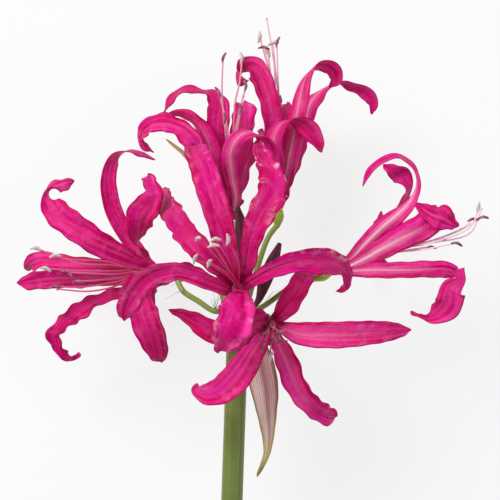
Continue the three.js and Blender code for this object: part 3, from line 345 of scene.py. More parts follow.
# Each stamen: the points its filament passes after those together, the way its anther points
# (across, up, near) and the anther's age. The one with no anther is the style.
STAMENS = {
    "centre": [
        [[[220, 260, 42], [199, 238, 47]], [0.4, 0.2, 0.9], PALE],
        [[[228, 258, 45], [216, 239, 50]], [1, 0.1, 0.2], PALE],
        [[[226, 264, 48], [214, 245, 54]], [1, 0.15, 0.2], PALE],
        [[[236, 260, 43], [229, 240, 49]], [0.05, 1, 0.1], PALE],
        [[[217, 268, 41], [196, 258, 46]], [0.3, 0.8, 0.5], PALE],
        [[[224, 270, 45], [210, 262, 51]], [0.3, 0.6, 0.6], PALE],
        [[[239, 264, 42], [233, 249, 47]]],
    ],
    "lower_right": [
        [[[272, 339, 33]], [0.7, 0.6, 0.2], DARK],
        [[[281, 340, 32]], [0.9, 0.3, 0.2], DARK],
        [[[262, 345, 33]], [0.3, 0.9, 0.1], DARK],
        [[[270, 355, 31]], [0.3, 0.9, 0.1], PALE],
        [[[279, 331, 35]], [0.8, 0.5, 0.3], DARK],
        [[[263, 332, 36]], [0.8, 0.5, 0.3], DARK],
        [[[273, 327, 38]]],
    ],
    "left": [
        [[[110, 262, 15], [64, 258, 19], [38, 248, 21]], [1, -0.15, 0], PALE],
        [[[112, 265, 18], [80, 263, 22], [57, 255, 25]], [1, 0.1, 0], PALE],
        [[[110, 271, 20], [70, 270, 24], [48, 268, 26]], [1, -0.3, 0], PALE],
        [[[116, 274, 22], [90, 273, 26], [70, 272, 28]], [0.8, -0.4, 0], DARK],
        [[[118, 278, 19], [98, 280, 23], [80, 281, 26]], [1, -0.2, 0], DARK],
        [[[115, 282, 16], [80, 287, 20], [56, 286, 22]], [1, 0.1, 0], DARK],
        [[[116, 286, 13], [90, 291, 15], [60, 289, 17]]],
    ],
    "back_left": [
        [[[124, 268, -34]], [0.8, 0.5, 0], PALE],
        [[[120, 275, -37]], [0.8, -0.5, 0], DARK],
        [[[127, 283, -34]], [0.3, 0.9, 0], DARK],
        [[[116, 273, -31]]],
    ],
    "upper_left": [
        [[[224, 120, -1], [222, 90, 0], [223, 58, 0]], [0.3, 1, 0], DARK],
        [[[235, 104, -2], [240, 80, -1], [242, 58, -2]], [0, 1, 0], PALE],
        [[[227, 126, 1], [219, 92, 3]], [-0.4, 0.9, 0], DARK],
        [[[236, 130, 1], [241, 110, 2]], [0.1, 1, 0], DARK],
        [[[240, 108, -5], [246, 86, -5]], [0, 1, 0], DARK],
        [[[226, 136, 3], [225, 119, 5]], [0.1, 1, 0], DARK],
        [[[238, 126, -1], [243, 98, 0]]],
    ],
    "top": [
        [[[269, 72, -17], [260, 36, -15]], [0.1, 1, 0], PALE],
        [[[271, 76, -14], [264, 46, -13]], [1, -0.1, 0], DARK],
        [[[272, 80, -20], [268, 50, -21]], [0.6, -0.8, 0], PALE],
        [[[278, 74, -15], [277, 41, -14]], [0.3, 1, 0], DARK],
        [[[276, 72, -18], [273, 41, -18]], [1, 0.3, 0], PALE],
        [[[281, 100, -20]], [0.1, 1, 0], DARK],
        [[[274, 60, -22], [267, 18, -24]]],
    ],
    "right": [
        [[[430, 241, 8], [462, 228, 11], [472, 219, 11]], [1, 0.1, 0], DARK],
        [[[430, 243, 11], [470, 226, 14], [477, 208, 14]], [0.2, 1, 0], PALE],
        [[[425, 249, 9], [456, 243, 12]], [1, -0.25, 0], DARK],
        [[[408, 250, 5], [430, 247, 6]], [1, 0.1, 0], DARK],
        [[[430, 241, 4], [456, 232, 6], [482, 217, 7]], [1, 0.1, 0], DARK],
        [[[412, 246, 1], [440, 239, 2]], [1, 0.2, 0], DARK],
        [[[430, 243, 0], [470, 233, 0], [481, 210, 1]]],
    ],
}

# The two spathe valves, in rows like a tepal's. The front one hangs down before the scape, the
# back one stands up behind the florets.
SPATHES = {
    "front": [[247, 333, 6, 6], [255, 352, 10, 10.5], [262, 380, 11, 11, 10], [266, 409, 10, 8, 10],
              [268, 436, 8.5, 4.4], [266, 455, 8, 2.4], [257, 476, 7.5, 1.2]],
    "back": [[234, 326, -5.6, 4.6], [231, 310, -9, 6], [226, 281, -12, 6.6], [220, 246, -12, 6],
             [212, 212, -11, 4.8], [202, 184, -9, 3.4], [188, 158, -7, 1.8], [166, 139, -4, 1]],
}

# The two withered buds: where the thin stalk stands, in degrees and out from the scape's axis,
# then the bud's own rows [across, down, near, radius].
BUDS = {
    "right": (30, 3.4, [
        [253, 308, 5, 0.7], [259, 299, 7, 1.2], [265, 282, 8, 2.3], [273, 262, 8, 2.2], [280, 243, 8, 0.7]
    ]),
    "middle": (90, 0.4, [
        [240, 290, 2, 0.7], [241, 262, 4, 0.9], [242, 246, 5, 1.8], [242, 228, 6, 2.2], [238, 207, 6, 0.7]
    ]),
}

# Tufts of hair-like bracteoles: where each starts, how far it reaches and how many hairs it has
TUFTS = [
    ([215, 309, 2], [4, -18, 3], 9),
    ([184, 291, 0], [-12, 0, 1], 3),
    ([262, 306, 4], [9, -12, 1], 3),
]
HAIR_CURL = 4  # on the grid
HAIR_STEPS = 6


# Colours as a screen shows them, 0 to 255
DRY_EDGE = (232, 190, 186)
FILAMENT_FOOT = (190, 10, 84)
FILAMENT_MIDDLE = (204, 26, 104)
FILAMENT_END = (216, 80, 138)
FILAMENT_PALE = (240, 206, 220)
HAIR = (128, 108, 100)


def linear(colour):
    """A screen's colour in linear light."""
    return (*(((value / 255 + 0.055) / 1.055) ** 2.4 for value in colour), 1)


def linked(name, data):
    """A new object of the scene."""
    thing = bpy.data.objects.new(name, data)
    bpy.context.scene.collection.objects.link(thing)
    return thing


def set_inputs(node, settings):
    for name, value in settings.items():
        node.inputs[name].default_value = value


def mix(a, b, share):
    return a + (b - a) * share


def place(point):
    across, down, near = point
    return Vector(((across - UMBEL_ACROSS) * GRID, (UMBEL_DOWN - down) * GRID, near))


def placed_rows(rows, values=5):
    """Rows as knots in millimetres, each filled up with zeros to a number of values."""
    return [[*place(row[:3]), *row[3:], *[0] * (values - len(row))] for row in rows]


def smooth_route(knots):
    """A smooth route through knots. A knot's first three values are a place in millimetres, and
    any further values are carried along with it."""
    when = [0.0]
    for before, after in zip(knots, knots[1:]):
        step = hypot(*(after[axis] - before[axis] for axis in range(3)))
        when.append(when[-1] + sqrt(step))
    last = len(knots) - 1

    def rate(i, value):
        return (knots[i + 1][value] - knots[i][value]) / (when[i + 1] - when[i])

    def slope(i, value):
        if i == 0:
            return rate(0, value)
        if i == last:
            return rate(last - 1, value)
        before = when[i] - when[i - 1]
        after = when[i + 1] - when[i]
        return (rate(i - 1, value) * after + rate(i, value) * before) / (before + after)

    slopes = [[slope(i, value) for value in range(len(knots[0]))] for i in range(last + 1)]

    def at(share):
        now = share * when[last]
        i = 0
        while i < last - 1 and now > when[i + 1]:
            i += 1
        span = when[i + 1] - when[i]
        s = (now - when[i]) / span
        rise = s * s * (3 - 2 * s)
        return [
            mix(knots[i][value], knots[i + 1][value], rise)
            + span * s * (1 - s) * ((1 - s) * slopes[i][value] - s * slopes[i + 1][value])
            for value in range(len(knots[0]))
        ]

    return at


def route_length(route):
    steps = 40
    points = [Vector(route(i / steps)[:3]) for i in range(steps + 1)]
    return sum((after - before).length for before, after in zip(points, points[1:]))


def direction_at(route, share):
    reach = 0.004
    ahead = Vector(route(min(1, share + reach))[:3])
    return (ahead - Vector(route(max(0, share - reach))[:3])).normalized()


def square_to(vector, direction):
    """The part of a vector that stands square to a direction."""
    return (vector - direction * vector.dot(direction)).normalized()


def turn_of(inward, along):
    seen = square_to(EYE, along)
    aside = along.cross(seen)
    return atan2(inward.dot(aside), inward.dot(seen)) * 180 / pi


def nearest_turn(turn, other):
    return turn + 360 * round((other - turn) / 360)


class Shape:
    """Points, faces and their looks, gathered before they become one mesh."""

    def __init__(self):
        self.points = []
        self.faces = []
        self.corners = []
        self.looks = []
        self.tones = []

    def loft(self, rings, looks, along, tones, across=None):
        """Adds a closed solid that joins each ring of points to the next. looks has one value
        for each side of the ring or one for all; along is each ring's place down the map, and
        tones are the rings' own."""
        first = len(self.points)
        sides = len(rings[0])
        looks = looks if isinstance(looks, list) else [looks] * sides
        across = across or [k / sides for k in range(sides + 1)]
        for ring, tone in zip(rings, tones):
            self.points.extend(ring)
            self.tones.extend([tone] * sides)
        for i in range(len(rings) - 1):
            for k in range(sides):
                a = first + i * sides + k
                b = first + i * sides + (k + 1) % sides
                self.faces.append((a, b, b + sides, a + sides))
                self.corners.append(
                    ((across[k], along[i]), (across[k + 1], along[i]),
                     (across[k + 1], along[i + 1]), (across[k], along[i + 1])))
                self.looks.append(looks[k])
        for i, order in ((0, range(sides - 1, -1, -1)), (len(rings) - 1, range(sides))):
            self.faces.append(tuple(first + i * sides + k for k in order))
            self.corners.append(tuple((across[k], along[i]) for k in order))
            self.looks.append(looks[-1])

    def piece(self, name, materials, slot, node):
        """The mesh object, laid down in the frame, in place of the CAD node."""
        laid = [LYING @ point for point in self.points]
        places = [(p.x * MM, p.y * MM, max(p.z, 0) * MM) for p in laid]
        mesh = bpy.data.meshes.new(name)
        mesh.from_pydata(places, [], self.faces)
        for material in materials:
            mesh.materials.append(material)
        mesh.polygons.foreach_set("material_index", self.looks)
        mesh.polygons.foreach_set("use_smooth", [True] * len(self.faces))
        chart = mesh.uv_layers.new(name="Petal")
        chart.data.foreach_set("uv", [value for face in self.corners for corner in face
                                      for value in corner])
        tone = mesh.attributes.new("tone", "FLOAT_VECTOR", "POINT")
        tone.data.foreach_set("vector", [value for tones in self.tones for value in tones])
        mesh.update()
        thing = linked(name, mesh)
        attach(thing, "root")
        if node:
            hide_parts(node)


def ruffle_at(share, station):
    """The height of the ruffle, up at one station and down at the next."""
    return sin(pi / 2 * min(1, share / RUFFLE_FULL)) * cos(pi * station)


def add_blade(shape, knots, cup, ruffle, seed, thickness, looks, tone):
    """A thin blade on a route: its edges rise toward the inner face, ruffled and crimped, and a
    groove runs along its middle. looks are those of the inner and the outer face; tone gives
    the three tones at a share of the length."""
    route = smooth_route(knots)
    length = route_length(route)
    waves = max(LEAST_WAVES, int(length / STATION_STEP + 0.5))
    steps = waves * STEPS_IN_STATION
    lanes = [2 * j / (LANES - 1) - 1 for j in range(LANES)]
    grid = []
    for i in range(steps + 1):
        share = i / steps
        station = share * waves
        along = direction_at(route, share)
        x, y, z, breadth, turn = route(share)
        seen = square_to(EYE, along)
        aside = along.cross(seen)
        inner = seen * cos(radians(turn)) + aside * sin(radians(turn))
        side = inner.cross(along)
        crisp = ruffle * ruffle_at(share, station)
        crimp = CRIMP * ruffle / RUFFLE * sin(pi * min(1, 3 * share))
        phase = 2 * pi * share * length / CRIMP_PITCH
        rounding = sqrt(max(TIP_SQUARE, 1 - max(0, (share - TIP_FROM) / (1 - TIP_FROM)) ** 2))
        row = []
        for lane in lanes:
            edge = lane * lane
            uneven = 1 - UNEVEN + UNEVEN * sin(seed + UNEVEN_LIFT * station + 2 * lane)
            small = crimp * edge * edge * sin(phase + 3 * sin(0.37 * phase + seed) + 2 * lane)
            lift = (cup * breadth + crisp * uneven * (1 if lane > 0 else -1)) * edge + small
            groove = GROOVE * exp(-((lane / GROOVE_BREADTH) ** 2))
            lift -= groove * sin(pi * min(1, 1.6 * share))
            wave = EDGE_WAVE * crisp * sin(seed + UNEVEN_REACH * station) * edge
            reach = rounding * (lane * max(breadth, 1) / 2 + wave)
            point = Vector((x, y, z)) + side * reach + inner * lift
            swell = noise.noise(point / SWELL_PITCH) * min(1, 3 * share)
            row.append(point + inner * SWELL * swell * (SWELL_MIDRIB + edge))
        grid.append(row)
    normals = grid_normals(grid)
    rings = []
    for i, row in enumerate(grid):
        ring = []
        for half in (0.5, -0.5):
            order = range(LANES) if half > 0 else range(LANES - 1, -1, -1)
            for j in order:
                slim = thickness * (1 - EDGE_SLIM * lanes[j] ** 4)
                ring.append(row[j] + normals[i][j] * half * slim)
        rings.append(ring)
    across = [j / (LANES - 1) for j in range(LANES)]
    shares = [i / steps for i in range(steps + 1)]
    shape.loft(
        rings,
        [looks[1]] * (LANES - 1) + [looks[0]] * (LANES + 1),
        shares,
        [tone(share) for share in shares],
        across + across[::-1] + [0],
    )


def grid_normals(grid):
    rows = len(grid)
    lanes = len(grid[0])
    return [
        [
            (grid[min(rows - 1, i + 1)][j] - grid[max(0, i - 1)][j])
            .cross(grid[i][max(0, j - 1)] - grid[i][min(lanes - 1, j + 1)])
            .normalized()
            for j in range(lanes)
        ]
        for i in range(rows)
    ]


def add_rod(shape, knots, steps, look, tone=PLAIN, lobes=0, lobe_depth=0, sides=ROD_SIDES):
    """A round solid that follows a route; a knot's fourth value is its radius."""
    route = smooth_route(knots)
    across = None
    rings = []
    for i in range(steps + 1):
        share = i / steps
        along = direction_at(route, share)
        start = EYE if abs(along.z) < 0.8 else Vector((0, 1, 0))
        across = square_to(across or start, along)
        up = along.cross(across)
        x, y, z, radius = route(share)
        radius = max(radius, LEAST_RADIUS)
        ring = []
        for k in range(sides):
            angle = 2 * pi * k / sides
            out = radius * (1 + lobe_depth * cos(lobes * angle + 2 * share))
            ring.append(Vector((x, y, z)) + across * out * cos(angle) + up * out * sin(angle))
        rings.append(ring)
    shape.loft(rings, look, [i / steps for i in range(steps + 1)], [tone] * (steps + 1))


def throat_of(floret):
    return place(floret["throat"]), Vector(floret["facing"]).normalized()


def tepal_knots(floret, rows):
    """Two knots in the tube, where the inner face looks at the floret's axis, then the rows."""
    throat, facing = throat_of(floret)
    outer = placed_rows(rows)
    away = square_to(Vector(outer[0][:3]) - throat, facing)
    root = throat - facing * BLADE_ROOT_DEPTH + away * BLADE_ROOT_OUT
    mouth = throat + away * MOUTH_RADIUS
    early = (mouth - root).normalized()
    turn = nearest_turn(turn_of(square_to(-away, early), early), outer[0][4])
    return [[*root, BLADE_ROOT_BREADTH, turn], [*mouth, BLADE_MOUTH_BREADTH, turn], *outer]


def tepal_tone(pale, deep, dry):
    """A tepal's tones by share of its length; it dries past its first third."""
    def tone(share):
        fading = max(0, 1 - (share / PALE_TO) ** 3)
        drying = min(1, max(0, 3 * share - 1))
        # painted shade: the colour is painted deeper near the throat, where the tepals' bases lie in shade
        throat = THROAT_PAINTED_SHADE * exp(-((share / THROAT_SHADE_REACH) ** 2))
        return pale * fading, dry * drying, deep + throat

    return tone


def add_tepals(shape, floret, tepals, flaps, seed):
    throat, facing = throat_of(floret)
    foot = throat - facing * TUBE_LENGTH
    tube = [[*foot, TUBE_FOOT_RADIUS], [*throat, TUBE_RADIUS]]
    add_rod(shape, tube, 6, OUTER, TUBE_TONE, lobes=6, lobe_depth=0.06, sides=ROUND_SIDES)
    tints = zip(floret["pale"], floret["deep"], floret["dry"])
    for i, (rows, tint) in enumerate(zip(tepals, tints)):
        add_blade(shape, tepal_knots(floret, rows), BLADE_CUP, RUFFLE * floret["crisp"][i],
                  seed + i, BLADE, (INNER, OUTER), tepal_tone(*tint))
    for i, rows in enumerate(flaps):
        add_blade(shape, placed_rows(rows), BLADE_CUP, FLAP_RUFFLE, seed + i, BLADE,
                  (INNER, OUTER), lambda share: FLAP_TONE)


def ring_order(rows, across, up):
    """The places in a ring, in order round the axis, that suit where the filaments end."""
    ends = [place(row[0][-1]) for row in rows]
    middle = sum(ends, Vector()) / len(ends)
    bearing = [atan2((end - middle).dot(up), (end - middle).dot(across)) for end in ends]
    order = sorted(range(len(rows)), key=lambda i: bearing[i])
    return [bearing[order[0]] + 2 * pi * order.index(i) / len(rows) for i in range(len(rows))]


def add_stamens(shape, floret, rows):
    throat, facing = throat_of(floret)
    across = square_to(EYE, facing)
    up = facing.cross(across)
    plug = [[*(throat + facing * distance), PLUG_RADIUS] for distance in (SEAT_GAP, PLUG_TOP)]
    add_rod(shape, plug, 1, FILAMENT)
    tone = (floret["filaments"], 0, 0)
    for angle, (points, *anther) in zip(ring_order(rows, across, up), rows):
        offset = across * FILAMENT_RING * cos(angle) + up * FILAMENT_RING * sin(angle)
        gathered = [throat + facing * FILAMENT_START, *map(place, floret["together"])]
        passed = [point + offset for point in gathered] + [place(point) for point in points]
        radii = [FILAMENT_RADIUS * (1 - 0.3 * i / (len(passed) - 1)) for i in range(len(passed))]
        knots = [[*point, radius] for point, radius in zip(passed, radii)]
        add_rod(shape, knots, 8 * len(knots), FILAMENT, tone, sides=8)
        if anther:
            add_anther(shape, passed[-1], *anther)
        else:
            add_stigma(shape, passed[-1], passed[-2], tone)


def add_anther(shape, middle, pointing, age):
    """A crescent balanced on the filament's end, in two long halves."""
    along = Vector(pointing).normalized()
    bow = square_to(Vector((0.2, 1, 0.1)), along) * -ANTHER_SAG
    tips = [middle + along * side * ANTHER_LENGTH / 2 + bow for side in (-1, 1)]
    radius = ANTHER_RADIUS if age == PALE else OLD_ANTHER_RADIUS
    ends = [[*tip, ANTHER_TIP_RADIUS] for tip in tips]
    knots = [ends[0], [*middle, radius], ends[1]]
    add_rod(shape, knots, 12, age, lobes=2, lobe_depth=0.18, sides=12)


def add_stigma(shape, end, before, tone):
    """The style's end splits into three short tips."""
    along = (end - before).normalized()
    side = square_to(EYE, along)
    other = along.cross(side)
    for turn in range(3):
        out = side * cos(2 * pi * turn / 3) + other * sin(2 * pi * turn / 3)
        tip = end + along * STIGMA_LENGTH + out * STIGMA_SPREAD
        knots = [[*end, STIGMA_RADIUS], [*tip, STIGMA_TIP_RADIUS]]
        add_rod(shape, knots, 3, FILAMENT, tone, sides=6)


def ring_place(stands, out):
    angle = radians(stands)
    return Vector((out * cos(angle), SEAT_GAP, out * sin(angle)))


def add_pedicel(shape, floret):
    throat, facing = throat_of(floret)

    def behind(distance):
        return throat - facing * (TUBE_LENGTH + SEAT_GAP + distance)

    foot = ring_place(floret["stands"], STALK_RING)
    risen = ring_place(floret["stands"], 1.1 * STALK_RING) + Vector((0, STALK_RING, 0))
    passed = [foot, risen, *map(place, floret["route"]), behind(OVARY_LENGTH)]
    add_rod(shape, [[*point, STALK_RADIUS] for point in passed], 12 * len(passed), STALK)
    ovary = [
        [*behind(OVARY_LENGTH + 1), 0.85 * STALK_RADIUS],
        [*behind(0.5 * OVARY_LENGTH), OVARY_RADIUS],
        [*behind(0), TUBE_FOOT_RADIUS],
    ]
    add_rod(shape, ovary, 16, OVARY, lobes=3, lobe_depth=0.05, sides=ROUND_SIDES)


def add_scape(shape):
    """Even down to its cut end, and a little swollen at its top."""
    lean = radians(SCAPE_LEAN_DEG)
    along = Vector((sin(lean), cos(lean), 0))
    knots = [
        (SCAPE_LENGTH, SCAPE_RADIUS),
        (0.5 * SCAPE_LENGTH, SCAPE_RADIUS),
        (SCAPE_NECK_FROM, SCAPE_RADIUS),
        (SCAPE_NECK_TO, 1.02 * SCAPE_RADIUS),
        (0, SCAPE_NECK_RADIUS),
    ]
    add_rod(shape, [[*(along * -distance), radius] for distance, radius in knots], 120, ONLY,
            sides=2 * ROUND_SIDES)


def add_bud(shape, stands, out, rows):
    """A withered bud, wrinkled lengthwise."""
    foot = [*ring_place(stands, out), BUD_STALK_RADIUS]
    knots = [foot, *placed_rows(rows, 4)]
    add_rod(shape, knots, 60, ONLY, lobes=5, lobe_depth=0.16, sides=20)


class Surface:
    """A material and its node tree, with short names for the steps that the materials share."""

    def __init__(self, name, roughness, glow=0, specular=0.35, gloss_tint=(1, 1, 1)):
        self.material = bpy.data.materials.new(name)
        self.material.use_nodes = True
        self.nodes = self.material.node_tree.nodes
        self.links = self.material.node_tree.links
        self.shader = self.nodes["Principled BSDF"]
        set_inputs(self.shader, {
            "Roughness": roughness,
            "Subsurface Weight": glow,
            "Subsurface Scale": 1.2 * MM,
            "Subsurface Radius": (1, 0.25, 0.4),
            "Specular IOR Level": specular,
            "Specular Tint": (*gloss_tint, 1),
        })
        self.chart = self.add("UVMap", {"uv_map": "Petal"}).outputs["UV"]
        self.across, self.down, _ = self.split(self.chart)
        tones = self.add("Attribute", {"attribute_name": "tone"}).outputs["Vector"]
        self.pale, self.dry, self.deep = self.split(tones)
        self.position = self.add("TexCoord").outputs["Object"]
        self.shade = None

    def add(self, kind, settings=None, inputs=None):
        node = self.nodes.new("ShaderNode" + kind)
        for name, value in (settings or {}).items():
            setattr(node, name, value)
        for name, value in (inputs or {}).items():
            self.feed(node.inputs[name], value)
        return node

    def feed(self, socket, value):
        if isinstance(value, bpy.types.NodeSocket):
            self.links.new(value, socket)
        else:
            socket.default_value = value

    def split(self, vector):
        return self.add("SeparateXYZ", inputs={0: vector}).outputs

    def maths(self, operation, first, second=0):
        inputs = {0: first, 1: second}
        return self.add("Math", {"operation": operation}, inputs).outputs[0]

    def times(self, first, second):
        return self.maths("MULTIPLY", first, second)

    def plus(self, first, second):
        return self.maths("ADD", first, second)

    def within(self, value, low, high, start=0, end=1):
        """The value's place between low and high, eased, from start to end."""
        inputs = {"Value": value, "From Min": low, "From Max": high, "To Min": start, "To Max": end}
        node = self.add("MapRange", {"interpolation_type": "SMOOTHSTEP"}, inputs)
        return node.outputs["Result"]

    def noise(self, vector, scale, detail):
        inputs = {"Vector": vector, "Scale": scale, "Detail": detail}
        return self.add("TexNoise", inputs=inputs).outputs["Fac"]

    def vector_maths(self, operation, first, second):
        inputs = {0: first, 1: second}
        return self.add("VectorMath", {"operation": operation}, inputs).outputs[0]

    def along(self, factors):
        """Places for a pattern that runs along the piece, the same on all pieces."""
        return self.vector_maths("MULTIPLY", self.chart, factors)

    def flow(self, factors, steps):
        """Places for such a pattern that changes from piece to piece."""
        places = self.vector_maths("MULTIPLY", self.position, (steps, steps, steps))
        return self.vector_maths("ADD", self.along(factors), places)

    def cover(self, share, colour):
        """Mixes a colour over the shade so far."""
        node = self.add("Mix", {"data_type": "RGBA"})
        self.feed(node.inputs["Factor"], share)
        self.feed(node.inputs[6], self.shade)
        self.feed(node.inputs[7], linear(colour))
        self.shade = node.outputs[2]

    def ramp(self, value, stops):
        """Starts the shade, from the colours at the value's stops."""
        node = self.add("ValToRGB", inputs={"Fac": value})
        marks = node.color_ramp.elements
        while len(marks) < len(stops):
            marks.new(0.5)
        for mark, (position, colour) in zip(marks, stops):
            mark.position = position
            mark.color = linear(colour)
        self.shade = node.outputs["Color"]

    def relief(self, height, high, normal=None):
        """A bump, high in millimetres, on top of another one if that is given."""
        inputs = {"Height": height, "Distance": high * MM}
        if normal:
            inputs["Normal"] = normal
        return self.add("Bump", inputs=inputs).outputs["Normal"]

    def from_middle(self):
        """How far across from the middle line, 0 to 1 at the edge."""
        return self.times(self.maths("ABSOLUTE", self.plus(self.across, -0.5)), 2)

    def finish(self, normal, roughness=None):
        self.feed(self.shader.inputs["Base Color"], self.shade)
        self.feed(self.shader.inputs["Normal"], normal)
        if roughness:
            self.feed(self.shader.inputs["Roughness"], roughness)
        return self.material


def tepal_surface(name, main, light, deep, violet, stripe, stripe_width):
    """A petal's face: lengthwise streaks, clouds of a bluer pink, a paler middle line, a deeper
    rim and, where it is dry, pale flakes near the edges."""
    face = Surface(name, 0.45, glow=0.2, specular=0.12, gloss_tint=(1, 0.4, 0.75))
    drift = face.flow((3.4, 1.1, 0), 30)
    streaks = face.noise(drift, 1.3, 3)
    threads = face.noise(face.flow((30, 1.4, 0), 1), 1, 2)
    clouds = face.noise(face.vector_maths("ADD", drift, (3, 5, 2)), 0.9, 2)
    bands = face.noise(face.flow((7, 1.8, 0), 45), 1, 1)
    blotches = face.noise(face.position, BLOTCHES, 3)
    grain = face.noise(face.position, GRAIN, 2)
    out = face.from_middle()
    face.ramp(streaks, [(0.3, deep), (0.5, main), (0.8, light)])
    face.cover(face.within(clouds, 0.42, 0.64, 0, 0.62), violet)
    face.cover(face.within(bands, 0.46, 0.76, 0, 0.5), light)
    face.cover(face.within(blotches, 0.48, 0.72, 0, 0.4), light)
    dark_lines = face.within(threads, 0.5, 0.68)
    face.cover(face.times(dark_lines, 0.34), deep)
    # painted shade: the deep tone is each tepal's own depth of colour plus the painted shade of its throat
    face.cover(face.times(face.deep, 0.9), deep)
    middle = face.within(out, 0, stripe_width, 1, 0)
    beside = face.within(out, stripe_width, 3 * stripe_width, 0.35, 0)
    paleness = face.times(face.pale, face.maths("MINIMUM", face.plus(middle, beside), 1))
    face.cover(face.times(paleness, face.within(threads, 0.3, 0.6, 1, 0.7)), stripe)
    face.cover(face.within(out, 0.84, 0.98, 0, 0.6), deep)
    dried = face.plus(blotches, face.times(grain, 0.25))
    dried = face.times(face.within(dried, 0.65, 0.76), face.within(out, 0.3, 0.8))
    face.cover(face.times(face.times(dried, face.dry), 0.75), DRY_EDGE)
    height = face.plus(face.times(dark_lines, -0.35), face.times(grain, 0.3))
    height = face.plus(height, face.times(streaks, 0.9))
    normal = face.relief(height, 0.25)
    puckers = face.noise(face.position, PUCKERS, 2)
    normal = face.relief(puckers, 0.7, normal)
    return face.finish(normal, face.within(grain, 0.3, 0.7, 0.36, 0.5))


def stalk_surface(name, dark, main, light, tinge, tinge_to):
    """A smooth green stalk: fine lengthwise streaks, mottled, tinged from its lower end."""
    skin = Surface(name, 0.4, glow=0.1, specular=0.5)
    fibres = skin.noise(skin.along((26, 2, 0)), 1, 3)
    mottle = skin.noise(skin.position, MOTTLE, 3)
    skin.ramp(fibres, [(0, dark), (0.5, main), (1, light)])
    skin.cover(skin.within(mottle, 0.45, 0.75, 0, 0.25), light)
    skin.cover(skin.within(skin.down, 0, tinge_to, 0.75, 0), tinge)
    height = skin.plus(fibres, skin.times(mottle, 0.4))
    return skin.finish(skin.relief(height, 0.1))


def papery_surface(name, paper, vein, edge, tip, point):
    """A withered valve: close dark veins and a dark band on pale paper, a coloured edge and a
    green tip."""
    skin = Surface(name, 0.6, glow=0.3, specular=0.25)
    fibres = skin.noise(skin.along((20, 2, 0)), 1, 3)
    lines = skin.maths("SINE", skin.plus(skin.times(skin.across, 88), skin.times(fibres, 9)))
    skin.shade = linear(paper)
    skin.cover(skin.within(lines, 0.1, 0.95, 0, 0.6), vein)
    band = skin.maths("ABSOLUTE", skin.plus(skin.across, -0.6))
    skin.cover(skin.within(band, 0.03, 0.14, 0.6, 0), vein)
    out = skin.from_middle()
    skin.cover(skin.within(out, 0.7, 0.95, 0, 0.9), edge)
    green = skin.plus(skin.down, skin.times(out, 0.3))
    skin.cover(skin.within(green, 0.72, 1, 0, 0.85), tip)
    skin.cover(skin.within(skin.down, 0.84, 0.96), point)
    height = skin.times(lines, skin.within(skin.down, 0.3, 0.7, 1, 0))
    return skin.finish(skin.relief(height, 0.1))


def filament_surface():
    """Paler toward its end, and paler altogether in some florets."""
    skin = Surface("filament", 0.4, glow=0.3)
    skin.ramp(skin.down, [(0, FILAMENT_FOOT), (0.45, FILAMENT_MIDDLE), (1, FILAMENT_END)])
    skin.cover(skin.pale, FILAMENT_PALE)
    grain = skin.noise(skin.position, THREAD_GRAIN, 2)
    return skin.finish(skin.relief(grain, 0.05))


def anther_surface(name, main, light):
    """Matt and grainy with pollen."""
    skin = Surface(name, 0.8, specular=0.2)
    grains = skin.noise(skin.position, POLLEN, 2)
    patches = skin.noise(skin.position, PATCHES, 2)
    skin.shade = linear(main)
    skin.cover(skin.within(skin.plus(grains, patches), 0.85, 1.2), light)
    return skin.finish(skin.relief(grains, 0.3))


def bud_surface(dark, wine, green):
    """Dark and wrinkled, greener toward its stalk."""
    skin = Surface("withered_bud", 0.55)
    wrinkles = skin.noise(skin.along((14, 4, 0)), 1, 4)
    skin.shade = linear(dark)
    skin.cover(skin.within(wrinkles, 0.35, 0.68), wine)
    skin.cover(skin.within(skin.down, 0.22, 0.42, 0.8, 0), green)
    return skin.finish(skin.relief(wrinkles, 0.6))


def floor_surface():
    skin = bpy.data.materials.new("floor")
    skin.use_nodes = True
    shader = skin.node_tree.nodes["Principled BSDF"]
    set_inputs(shader, {
        "Base Color": (FLOOR_SHADE, FLOOR_SHADE, FLOOR_SHADE, 1),
        "Emission Color": (1, 1, 1, 1),
        "Emission Strength": FLOOR_GLOW,
        "Roughness": 0.9,
        "Specular IOR Level": 0.1,
    })
    return skin


def add_lamp(name, at, size, power):
    """A square lamp that faces the umbel; a lamp shines along its own -Z."""
    data = bpy.data.lights.new(name, "AREA")
    data.shape = "SQUARE"
    data.size = size
    data.energy = power
    lamp = linked(name, data)
    lamp.location = at
    facing = Vector(UMBEL_AT) * MM - lamp.location
    lamp.rotation_euler = facing.to_track_quat("-Z", "Y").to_euler()


def add_camera():
    """Square to the scape, as far as a portrait lens would stand, over the drawing's middle."""
    middle = LYING @ place([VIEW_MIDDLE, VIEW_MIDDLE, 0])
    toward = LYING.to_3x3() @ EYE
    data = bpy.data.cameras.new("camera")
    data.sensor_width = 36
    data.lens = data.sensor_width * CAMERA_DISTANCE / (VIEW_UNITS * GRID)
    data.clip_end = 100
    camera = linked("camera", data)
    camera.matrix_world = (
        Matrix.Translation((middle + toward * CAMERA_DISTANCE) * MM)
        @ Matrix.Rotation(radians(LIE_DEG), 4, "X"))
    bpy.context.scene.camera = camera


def add_floor():
    far = FLOOR_REACH
    mesh = bpy.data.meshes.new("floor")
    corners = [(-far, -far, 0), (far, -far, 0), (far, far, 0), (-far, far, 0)]
    mesh.from_pydata(corners, [], [(0, 1, 2, 3)])
    mesh.materials.append(floor_surface())
    linked("floor", mesh)


